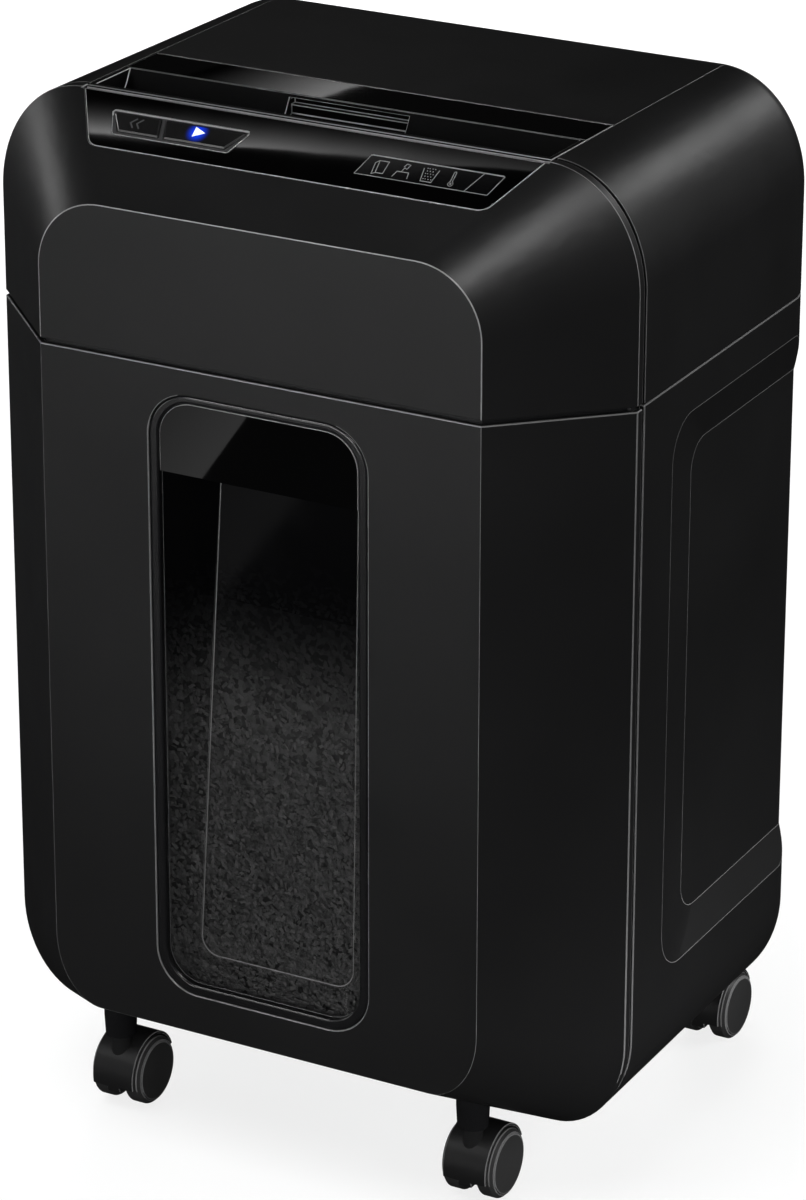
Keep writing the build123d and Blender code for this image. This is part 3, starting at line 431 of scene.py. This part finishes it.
def finish_piece(made, name, look, body):
    """Turns a mesh under construction into a piece that rides on a body."""
    bmesh.ops.recalc_face_normals(made, faces=made.faces)
    mesh = bpy.data.meshes.new(name)
    made.to_mesh(mesh)
    made.free()
    dress(new_object(name, mesh), look, body)


def add_prism(made, foot, lid):
    """Adds a closed solid between two outlines of as many points."""
    foot = [made.verts.new(point) for point in foot]
    lid = [made.verts.new(point) for point in lid]
    made.faces.new(foot)
    made.faces.new(lid)
    for k in range(len(foot)):
        made.faces.new((foot[k - 1], foot[k], lid[k], lid[k - 1]))


# Pieces with softened edges in place of sharp CAD shells

# Points nearer than this are one, and faces that bend less than this are flat, or one curved stretch
WELD = 0.002 * MM
FLAT_BEND = math.radians(0.4)
CURVED_BEND = math.radians(12)
ANY_SHAPE = math.radians(180)
# Share of a face's breadth that one of its rounded edges may take
EDGE_ROOM = 0.46
# Rounded edges take their shading from faces whose normals lie within this cosine
BLEND = 0.3
# The slopes round a key's top, by the cosine between them and that top; they take the painted highlight of its
# edges
SLOPED = (0.35, 0.94)
# Rounded edges that look down more than this get no painted highlight, as they catch no light from above
UNLIT = -0.25
BEVEL_STEPS = 3


def clean_copy(node):
    """A copy of a CAD mesh with shared points, flat faces in one piece and quads where it bends."""
    mesh = frame["nodes"][node].data.copy()
    made = bmesh.new()
    made.from_mesh(mesh)
    bmesh.ops.remove_doubles(made, verts=made.verts, dist=WELD)
    bmesh.ops.dissolve_limit(made, angle_limit=FLAT_BEND, verts=made.verts, edges=made.edges)
    bmesh.ops.join_triangles(
        made,
        faces=[face for face in made.faces if len(face.verts) == 3],
        angle_face_threshold=CURVED_BEND,
        angle_shape_threshold=ANY_SHAPE,
    )
    made.to_mesh(mesh)
    made.free()
    return mesh


def room(mesh, face, key):
    """How far a face reaches across from the middle of one of its edges."""
    start, end = (mesh.vertices[vertex].co for vertex in key)
    middle = (start + end) / 2
    along = (end - start).normalized()
    across = face.normal.cross(along)
    reach = []
    for other in face.edge_keys:
        points = [mesh.vertices[vertex].co - middle for vertex in other]
        (x, y), (end_x, end_y) = ((along.dot(point), across.dot(point)) for point in points)
        if other != key and (x < 0.0) != (end_x < 0.0):
            reach.append(abs(y - x * (end_y - y) / (end_x - x)))
    return min(reach, default=1.0)


def weigh_edges(mesh, width, flat):
    """Says over how much of a width each sharp edge is rounded: less where its faces are narrow.

    Edges that run on into each other all take the smallest share among them.
    """
    beside = {}
    for face in mesh.polygons:
        for key in face.edge_keys:
            beside.setdefault(key, []).append(face)
    shares = {}
    meeting = {}
    for key, faces in beside.items():
        if len(faces) == 2 and faces[0].normal.dot(faces[1].normal) < flat:
            shares[key] = min(1.0, EDGE_ROOM * min(room(mesh, face, key) for face in faces) / width)
            for vertex in key:
                meeting.setdefault(vertex, []).append(key)
    for first in sorted(shares, key=shares.get):
        queue = [first]
        while queue:
            key = queue.pop()
            following = [near for vertex in key if len(meeting[vertex]) == 2 for near in meeting[vertex]]
            for near in following:
                if shares[near] > shares[key]:
                    shares[near] = shares[key]
                    queue.append(near)
    weights = [shares.get(edge.key, 0.0) for edge in mesh.edges]
    mesh.attributes.new("bevel_weight_edge", "FLOAT", "EDGE").data.foreach_set("value", weights)


def mean_normal(faces, like, limit):
    """The mean normal, by area, of the faces that point within a limit of a direction."""
    near = [face for face in faces if face.normal.dot(like) > limit]
    total = sum((face.normal * face.area for face in near), Vector())
    return total.normalized() if total.length else like


def set_normals(mesh, flat):
    """Keeps faces flat or evenly curved up to their rounded edges, which blend between them."""
    round_vertex = [[] for vertex in mesh.vertices]
    for face in mesh.polygons:
        for vertex in face.vertices:
            round_vertex[vertex].append(face)
    normals = []
    for face in mesh.polygons:
        for vertex in face.vertices:
            broad = [near for near in round_vertex[vertex] if near.material_index == 0]
            if face.material_index == 0:
                normals.append(mean_normal(broad, face.normal, flat))
            else:
                normals.append(mean_normal(broad or round_vertex[vertex], face.normal, BLEND))
    mesh.normals_split_custom_set(normals)


def softened(node, width, edge, angle=20.0, top=None):
    """Stands in for a CAD shell, with its edges rounded over a width in millimetres.

    Edges that bend by more than an angle in degrees are rounded, and the rounded edges take the
    edge look, a painted highlight, except those that look down. Where the way that its top faces
    is given, the slopes round that top take the same painted highlight.
    """
    piece = new_object(node + "_soft", clean_copy(node))
    slot = NODE_SLOT[node]
    dress(piece, NODE_LOOKS.get(node, SLOT_LOOKS[slot]), NODE_BODY[node])
    piece.data.materials.append(edge)
    flat = math.cos(math.radians(angle))
    weigh_edges(piece.data, width * MM, flat)
    bevel = piece.modifiers.new("edges", "BEVEL")
    bevel.width = width * MM
    bevel.segments = BEVEL_STEPS
    bevel.limit_method = "WEIGHT"
    bevel.use_clamp_overlap = False
    # The rounded edges take the second look, a painted highlight
    bevel.material = 1
    piece.data.shade_smooth()
    bpy.context.view_layer.update()
    evaluated = piece.evaluated_get(bpy.context.evaluated_depsgraph_get())
    piece.data = bpy.data.meshes.new_from_object(evaluated)
    piece.modifiers.clear()
    set_normals(piece.data, flat)
    # Slopes round a key's top take the painted highlight too, and edges that look down lose it
    for face in piece.data.polygons:
        if top and SLOPED[0] < face.normal.dot(top) < SLOPED[1]:
            face.material_index = 1
        if face.normal.z < UNLIT:
            face.material_index = 0
    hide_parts(node)


# Width and look of the edges of each shell, and where needed the angle and the way of its top; the looks are
# painted highlights on the rounded edges
EDGES = {
    "front_bezel": (0.6, BEZEL_EDGE),
    "bin_front": (0.6, EDGE),
    "head_cheek_left": (0.6, EDGE),
    "head_cheek_right": (0.6, EDGE),
    "side_cover_left": (0.6, SIDE_EDGE, 9.0),
    "side_cover_right": (0.6, SIDE_EDGE, 9.0),
    "top_cover": (0.5, EDGE),
    "top_strip": (0.5, EDGE),
    "rear_panel": (0.6, EDGE),
    "control_panel": (0.45, BRIGHT_EDGE),
    "button_frame": (0.6, GLINT_EDGE),
    "start_button": (0.3, KEY_EDGE, 20.0, PANEL_NORMAL),
    "reverse_button": (0.3, KEY_EDGE, 20.0, PANEL_NORMAL),
    "feed_throat": (0.4, BRIGHT_EDGE),
    "bin_grip": (0.4, EDGE),
    "bin_window": (0.5, WINDOW_EDGE),
}
for corner in ("front_left", "front_right", "rear_left", "rear_right"):
    EDGES["caster_hood_" + corner] = (0.4, SIDE_EDGE)
    EDGES["wheel_" + corner + "_outer"] = (0.4, SIDE_EDGE)
    EDGES["wheel_" + corner + "_inner"] = (0.4, SIDE_EDGE)


# Cut paper behind the window

# The dished window: its pane at its lower and upper end, and the mouth that it opens to at the front
PANE_LOW_Z = -289.0
PANE_LOW_Y = 13.5
PANE_LOW_HALF = 40.0
PANE_HIGH_Z = -28.0
PANE_HIGH_Y = 30.0
PANE_HIGH_HALF = 34.3
MOUTH_LOW_Z = -301.3
MOUTH_Y = 5.3
MOUTH_HALF = 52.4
# Room for the thickness of its pane, of its walls and of its rim
PANE_ROOM = 2.2
WALL_ROOM = 2.0
RIM_ROOM = 0.4

# The chips: how many are tried, their size, and where their middles and their ends may lie
SHREDS_TRIED = 9000
SHRED_LENGTHS = (1.8, 4.0)
SHRED_WIDTH = 1.5
SHRED_THICK = 0.2
SHRED_TILT = 0.35
PAPER_HALF = 58.0
PAPER_LOW = -311.0
PAPER_TOP = -94.0
REACH_HALF = 60.5
REACH_LOW = -312.8
# Every so many tries a chip goes to the foot of the window
FOOT_EVERY = 6
FOOT_TOP = -280.0
# From this share of the height the chips grow fewer, at this rate
THIN_FROM = 0.8
THINNING = 5.0
# How far behind the window they lie at least, and how much deeper at the foot and at the top
SHRED_GAP = 0.4
FOOT_DEEP = 2.0
TOP_DEEP = 12.0

# The heap behind them: half of its plan as (across, depth, how far its top leans back)
HEAP_HALF = [(43, 19, 9), (58, 9, 0), (58, 64, 0), (136, 64, 0), (136, 218, 0)]
HEAP_LOW = -312.0
HEAP_HIGH = PAPER_TOP - 24.0


def window_back(x, z):
    """How far back the rear side of the dished window lies at a place, in millimetres."""
    share = (z - PANE_LOW_Z) / (PANE_HIGH_Z - PANE_LOW_Z)
    pane = PANE_LOW_Y + max(share, 0.0) * (PANE_HIGH_Y - PANE_LOW_Y) + PANE_ROOM
    half = PANE_LOW_HALF + share * (PANE_HIGH_HALF - PANE_LOW_HALF) + WALL_ROOM
    across = (abs(x) - half) / (MOUTH_HALF - half)
    foot = PANE_LOW_Z - WALL_ROOM
    below = (foot - z) / (foot - MOUTH_LOW_Z)
    wall = min(max(across, below, 0.0), 1.0)
    return pane + wall * (MOUTH_Y + RIM_ROOM - pane)


def strip_points(dice, length, width):
    """One curled strip of paper round its own middle: rows of (left, right) pairs along its length."""
    curl = dice.uniform(-1.0, 1.0) * 0.12 * length
    twist = dice.uniform(-0.5, 0.5)
    rows = []
    for step in (-0.5, 0.0, 0.5):
        lift = curl * (1.0 - 4.0 * step * step)
        lean = twist * step
        side = Vector((0.0, math.cos(lean), math.sin(lean))) * width / 2
        middle = Vector((length * step, 0.0, lift))
        rows.append((middle - side, middle + side))
    return rows


def add_strip(made, rows, thick):
    """Adds a strip with a thickness to a mesh under construction; rows hold points in millimetres."""
    up = (rows[1][0] - rows[0][0]).cross(rows[0][1] - rows[0][0]).normalized() * thick
    sections = [
        [made.verts.new(at(*point)) for point in (left, right, right + up, left + up)]
        for left, right in rows
    ]
    for section, following in zip(sections, sections[1:]):
        for k in range(4):
            made.faces.new((section[k], section[k - 1], following[k - 1], following[k]))
    made.faces.new(sections[0])
    made.faces.new(reversed(sections[-1]))


def make_shreds():
    """Chips pressed against the window, thinning out and lying deeper towards the top of the heap."""
    dice = random.Random(7)
    made = bmesh.new()
    for count in range(SHREDS_TRIED):
        x = dice.uniform(-PAPER_HALF, PAPER_HALF)
        z = dice.uniform(PAPER_LOW, PAPER_TOP if count % FOOT_EVERY else FOOT_TOP)
        rise = (z - PAPER_LOW) / (PAPER_TOP - PAPER_LOW)
        if dice.random() < (rise - THIN_FROM) * THINNING:
            continue
        turn = Matrix.Rotation(dice.uniform(0.0, math.pi), 3, "Y")
        tilt = Matrix.Rotation(math.pi / 2 + dice.gauss(0.0, SHRED_TILT), 3, "X")
        rows = strip_points(dice, dice.uniform(*SHRED_LENGTHS), SHRED_WIDTH)
        rows = [[turn @ tilt @ point for point in row] for row in rows]
        rows = [[Vector((x + p.x, p.y, z + p.z)) for p in row] for row in rows]
        if any(abs(p.x) > REACH_HALF or p.z < REACH_LOW for row in rows for p in row):
            continue
        push = max(window_back(p.x, p.z) - p.y for row in rows for p in row)
        push += SHRED_GAP + (FOOT_DEEP + TOP_DEEP * rise ** 3) * dice.random()
        add_strip(made, [[p + Vector((0.0, push, 0.0)) for p in row] for row in rows], SHRED_THICK)
    finish_piece(made, "shreds", PAPER, "bin")


def make_heap():
    """The paper below and behind the loose chips, as one block with a step to the window."""
    plan = HEAP_HALF + [(-x, y, lean) for x, y, lean in reversed(HEAP_HALF)]
    made = bmesh.new()
    foot = [at(x, y, HEAP_LOW) for x, y, lean in plan]
    lid = [at(x, y + lean, HEAP_HIGH) for x, y, lean in plan]
    add_prism(made, foot, lid)
    finish_piece(made, "heap", HEAP, "bin")


# Symbols on the control panel, as outlines across and up the slope

INK = 0.06
SIGN_PEN = 0.4
BORDER_PEN = 0.35
REVERSE_PEN = 0.7
# Widths of the painted highlight lines on the key frame and on the lens
FRAME_HIGHLIGHT_PEN = 0.75
LENS_HIGHLIGHT_PEN = 0.6
START_ARROW = [(-51.2, 47.9), (-45.6, 45.4), (-51.1, 42.6)]
REVERSE_ARROW = [(2.0, 46.9), (-0.4, 44.5), (1.6, 42.1)]
REVERSE_AT = (-82.8, -79.6)
# Rows of dots in the full bin, alternately of one and the other kind
DOT_ROWS = (41.3, 42.7, 44.1, 45.5, 46.9)
DOTS = [(63.9, 64.9, 66.3, 67.6), (64.2, 65.6, 67.0)]
DOT_RADIUS = 0.28
# The thermometer: the middle of its bulb, the radius of the bulb and of its filling, and its stem
BULB = (77.2, 40.9)
BULB_RADIUS = 1.15
FILLING_RADIUS = 0.5
BULB_OPENING = (118.0, 304.0)
STEM_HALF = 0.5
STEM_LOW = 42.0
STEM_HIGH = 46.8


def add_plate(made, points, low):
    """A thin closed plate with an outline, as thick as ink."""
    foot = [on_slope(u, v, low) for u, v in points]
    lid = [on_slope(u, v, low + INK) for u, v in points]
    add_prism(made, foot, lid)


def add_line(made, points, width, low, closed=False):
    """A drawn line of one width through points, each stretch a plate of its own."""
    ends = points[1:] + points[:1] if closed else points[1:]
    for (u, v), (end_u, end_v) in zip(points, ends):
        along = Vector((end_u - u, end_v - v)).normalized() * width / 2
        side = Vector((-along.y, along.x))
        start = Vector((u, v)) - along * 0.6
        stop = Vector((end_u, end_v)) + along * 0.6
        corners = (start - side, stop - side, stop + side, start + side)
        add_plate(made, [tuple(corner) for corner in corners], low)


def ring(u, v, radius, count, start=0.0, sweep=360.0):
    """Points on a circle, or on an arc of it."""
    angles = [math.radians(start + sweep * k / count) for k in range(count + (sweep < 360.0))]
    return [(u + radius * math.cos(a), v + radius * math.sin(a)) for a in angles]


def key_symbols():
    """A lit start arrow, and a dim double arrow for reverse."""
    made = bmesh.new()
    add_plate(made, START_ARROW, KEY_TOP)
    finish_piece(made, "start_arrow", LIT, "start_key")
    made = bmesh.new()
    for place in REVERSE_AT:
        add_line(made, [(place + u, v) for u, v in REVERSE_ARROW], REVERSE_PEN, KEY_TOP)
    finish_piece(made, "reverse_arrows", DIM_PRINT, "reverse_key")


def full_bin(made):
    """A bin with rows of dots in it."""
    add_line(made, [(62.2, 46.6), (63.0, 40.0), (68.2, 40.0), (69.6, 46.6)], SIGN_PEN, LENS_TOP)
    for row, v in enumerate(DOT_ROWS):
        for u in DOTS[row % 2]:
            add_plate(made, ring(u, v, DOT_RADIUS, 8), LENS_TOP)


def thermometer(made):
    """A bulb with its filling, and an open stem."""
    u = BULB[0]
    add_line(made, ring(*BULB, BULB_RADIUS, 16, *BULB_OPENING), SIGN_PEN, LENS_TOP)
    cap = ring(u, STEM_HIGH, STEM_HALF, 8, 180.0, -180.0)
    stem = [(u - STEM_HALF, STEM_LOW), (u - STEM_HALF, STEM_HIGH), *cap[1:], (u + STEM_HALF, STEM_LOW)]
    add_line(made, stem, SIGN_PEN, LENS_TOP)
    add_plate(made, ring(*BULB, FILLING_RADIUS, 12), LENS_TOP)


def lens_symbols():
    """Four status signs inside a thin border: open bin, sheet feed, full bin, and heat."""
    made = bmesh.new()
    border = [(99.9, 48.6), (95.9, 38.3), (31.6, 38.3), (35.4, 48.6)]
    bar = [(90.3, 48.9), (84.8, 38.4)]
    cabinet = [(41.0, 40.4), (44.6, 40.4), (45.2, 46.8), (40.6, 46.8)]
    drawer = [(41.0, 40.4), (39.4, 39.5), (39.0, 45.4), (40.6, 46.8)]
    slot = [(49.4, 39.9), (50.6, 42.9), (56.2, 42.9), (56.6, 39.9)]
    sheet = [(52.6, 42.9), (53.4, 45.2), (54.6, 44.6), (55.6, 46.9)]
    fold = [(55.6, 46.9), (53.8, 47.3), (52.9, 45.6)]
    add_line(made, border, BORDER_PEN, LENS_TOP)
    add_line(made, bar, SIGN_PEN, LENS_TOP)
    add_line(made, cabinet, SIGN_PEN, LENS_TOP, closed=True)
    for points in (drawer, slot, sheet, fold):
        add_line(made, points, SIGN_PEN, LENS_TOP)
    full_bin(made)
    thermometer(made)
    finish_piece(made, "status_signs", PRINT, "cabinet")


def panel_highlight_lines():
    """Painted highlights: bright lines along the upper edges of the key frame and of the lens, where they
    catch light.
    """
    frame_line = [(-93.8, 47.4), (-94.6, 49.1), (-93.9, 50.1), (-25.8, 50.1)]
    lens_line = [(35.4, 48.7), (36.3, 49.1), (99.2, 49.1), (99.9, 48.7)]
    made = bmesh.new()
    add_line(made, frame_line, FRAME_HIGHLIGHT_PEN, FRAME_TOP)
    add_line(made, lens_line, LENS_HIGHLIGHT_PEN, LENS_TOP)
    finish_piece(made, "panel_highlight_lines", GLINT_EDGE, "cabinet")


# Stage

WHITE = (1.0, 1.0, 1.0, 1.0)
FLOOR_HALF = 6.0
FLOOR_DROP = 0.2 * MM
FLOOR_PALE = 0.88
# Share of the floor that glows white to the camera; the shadow lamp lights the rest
FLOOR_GLOW = 0.8
SHADOW_LIGHT = 3.0
SHADOW_SOFTNESS = math.radians(50.0)
SHADOW_TIP = (math.radians(15.0), math.radians(-12.0), 0.0)
# What the floor and the world give to the object and to its gloss, as shares of white
FLOOR_BOUNCE = 0.015
FLOOR_MIRROR = 0.005
WORLD_BOUNCE = 0.03
WORLD_MIRROR = 0.008


def make_floor():
    """A pale floor, white to the camera with the shadow of the object, and dim in reflections."""
    mesh = bpy.data.meshes.new("floor")
    corners = [(-1, -1), (1, -1), (1, 1), (-1, 1)]
    points = [(x * FLOOR_HALF, y * FLOOR_HALF, FLOOR_Z - FLOOR_DROP) for x, y in corners]
    mesh.from_pydata(points, [], [(0, 1, 2, 3)])
    floor = new_object("floor", mesh)
    shader = Shader("floor_white")
    path = shader.node("ShaderNodeLightPath").outputs
    unseen = shader.ramp(path["Is Glossy Ray"], 0.0, 1.0, FLOOR_BOUNCE, FLOOR_MIRROR)
    pale = shader.ramp(path["Is Camera Ray"], 0.0, 1.0, unseen, FLOOR_PALE)
    grain = shader.spread(shader.noise(3.0), 0.98, 1.0)
    shader.set(Base_Color=shader.combine("MULTIPLY", pale, grain), Roughness=0.9, Specular_IOR_Level=0.1)
    glow = shader.node("ShaderNodeEmission").outputs["Emission"]
    share = shader.combine("MULTIPLY", path["Is Camera Ray"], FLOOR_GLOW)
    shader.show(shader.mixed(share, shader.surface.outputs["BSDF"], glow))
    mesh.materials.append(shader.material)
    return floor


def shadow_lamp(floor):
    """A soft high lamp that only the floor receives: it draws the shadow and leaves the object as lit."""
    data = bpy.data.lights.new("shadow_lamp", "SUN")
    data.energy = SHADOW_LIGHT
    data.angle = SHADOW_SOFTNESS
    lamp = bpy.data.objects.new("shadow_lamp", data)
    lamp.rotation_euler = SHADOW_TIP
    lamp.visible_glossy = False
    bpy.context.scene.collection.objects.link(lamp)
    receivers = bpy.data.collections.new("floor_only")
    receivers.objects.link(floor)
    lamp.light_linking.receiver_collection = receivers


def make_world():
    """White to the camera and through clear plastic, and a low even light on the object."""
    world = bpy.data.worlds.new("studio")
    bpy.context.scene.world = world
    world.use_nodes = True
    nodes = Nodes(world.node_tree)
    nodes.tree.nodes.clear()
    path = nodes.node("ShaderNodeLightPath").outputs
    bright = nodes.node("ShaderNodeBackground", Color=WHITE, Strength=1.0)
    dim = nodes.node("ShaderNodeBackground", Color=WHITE)
    level = nodes.ramp(path["Is Glossy Ray"], 0.0, 1.0, WORLD_BOUNCE, WORLD_MIRROR)
    nodes.feed(level, dim.inputs["Strength"])
    seen = nodes.combine("MAXIMUM", path["Is Camera Ray"], path["Is Transmission Ray"])
    light = nodes.mixed(seen, dim.outputs["Background"], bright.outputs["Background"])
    nodes.feed(light, nodes.node("ShaderNodeOutputWorld").inputs["Surface"])


def aimed(place, aim, axis):
    """The placing of a thing at a point, with one of its axes towards another point."""
    facing = (at(*aim) - at(*place)).to_track_quat(axis, "Y").to_matrix().to_4x4()
    return Matrix.Translation(at(*place)) @ facing


def softbox(name, place, aim, size, glow, spread=180.0, mirrored=True):
    """A soft lamp of a size, brightness and spread, left out of gloss if asked; points in millimetres."""
    data = bpy.data.lights.new(name, "AREA")
    data.shape = "RECTANGLE"
    data.size = size[0] * MM
    data.size_y = size[1] * MM
    data.energy = glow * math.pi * data.size * data.size_y
    data.spread = math.radians(spread)
    light = bpy.data.objects.new(name, data)
    bpy.context.scene.collection.objects.link(light)
    light.matrix_world = aimed(place, aim, "-Z")
    light.visible_camera = False
    light.visible_glossy = mirrored


def card(name, place, aim, size, glow, turn=0.0, fall=0.0, ends=(1.0, 1.0)):
    """A lit card that shows only in reflections; points in millimetres.

    It is brightest along its lower edge, falls off by a power towards its upper edge, and fades
    from end to end.
    """
    wide, high = size[0] * MM / 2, size[1] * MM / 2
    corners = [(-wide, -high, 0), (wide, -high, 0), (wide, high, 0), (-wide, high, 0)]
    mesh = bpy.data.meshes.new(name)
    mesh.from_pydata(corners, [], [(0, 1, 2, 3)])
    piece = new_object(name, mesh)
    piece.matrix_world = aimed(place, aim, "Z") @ Matrix.Rotation(math.radians(turn), 4, "Z")
    shader = Shader(name + "_light")
    fade = shader.combine("POWER", shader.ramp(shader.along("Y"), high, -high, 0.0, 1.0), fall)
    level = shader.ramp(shader.along("X"), -wide, wide, glow * ends[0], glow * ends[1], "SMOOTHSTEP")
    light = shader.node("ShaderNodeEmission")
    shader.feed(shader.combine("MULTIPLY", fade, level), light.inputs["Strength"])
    shader.show(light.outputs["Emission"])
    mesh.materials.append(shader.material)
    piece.visible_camera = False
    piece.visible_diffuse = False
    piece.visible_shadow = False


def make_lights():
    """Lamps low round the object, and cards for the bright fields and lines on its gloss."""
    softbox("key", (-600, -1950, -150), (0, 0, 60), (900, 420), 0.58, spread=34.0)
    softbox("fill_right", (1600, 900, 600), (100, 100, -150), (1000, 1000), 4.0)
    softbox("fill_front", (900, -1700, 300), (0, 0, -300), (900, 900), 0.33, spread=40.0, mirrored=False)
    softbox("fill_left", (-1700, -700, 100), (-100, 50, -150), (700, 700), 3.0)
    softbox("fill_back", (-900, 2000, 100), (0, 250, -150), (900, 900), 8.0, mirrored=False)
    softbox("low_right", (660, 100, -300), (160, 100, -300), (260, 80), 1.0, spread=34.0, mirrored=False)
    card("corner_right", (690, -830, 1170), (130, 40, 88), (420, 300), 38.0)
    card("corner_left", (-1590, 130, 420), (-128, 30, 80), (320, 320), 9.0)
    card("shoulder", (560, 1413, 660), (140, 100, 60), (460, 330), 7.0)
    card("edges_front", (-1000, -1500, 1150), (0, 0, 80), (500, 500), 14.0)
    card("edges_back", (-600, 760, 1550), (0, 60, 100), (500, 500), 6.0)
    ends = (0.12, 1.0)
    card("panel_card", (-714, -17, 1400), (-714, -7, 0), (430, 30), 4.2, turn=-3.8, fall=3.2, ends=ends)
    card("strip_card", (-830, 1338, 542), (-830, 0, 542), (420, 46), 0.8, turn=157.0, fall=2.2)
    card("grip_card", (-509, -700, -295), (-509, 0, -295), (240, 160), 0.65, turn=-55.0, fall=1.5)


def main():
    bpy.context.scene.view_settings.view_transform = "Standard"
    make_camera()
    paint_cad()
    for node, look in EDGES.items():
        softened(node, *look)
    make_heap()
    make_shreds()
    key_symbols()
    lens_symbols()
    panel_highlight_lines()
    shadow_lamp(make_floor())
    make_world()
    make_lights()


main()
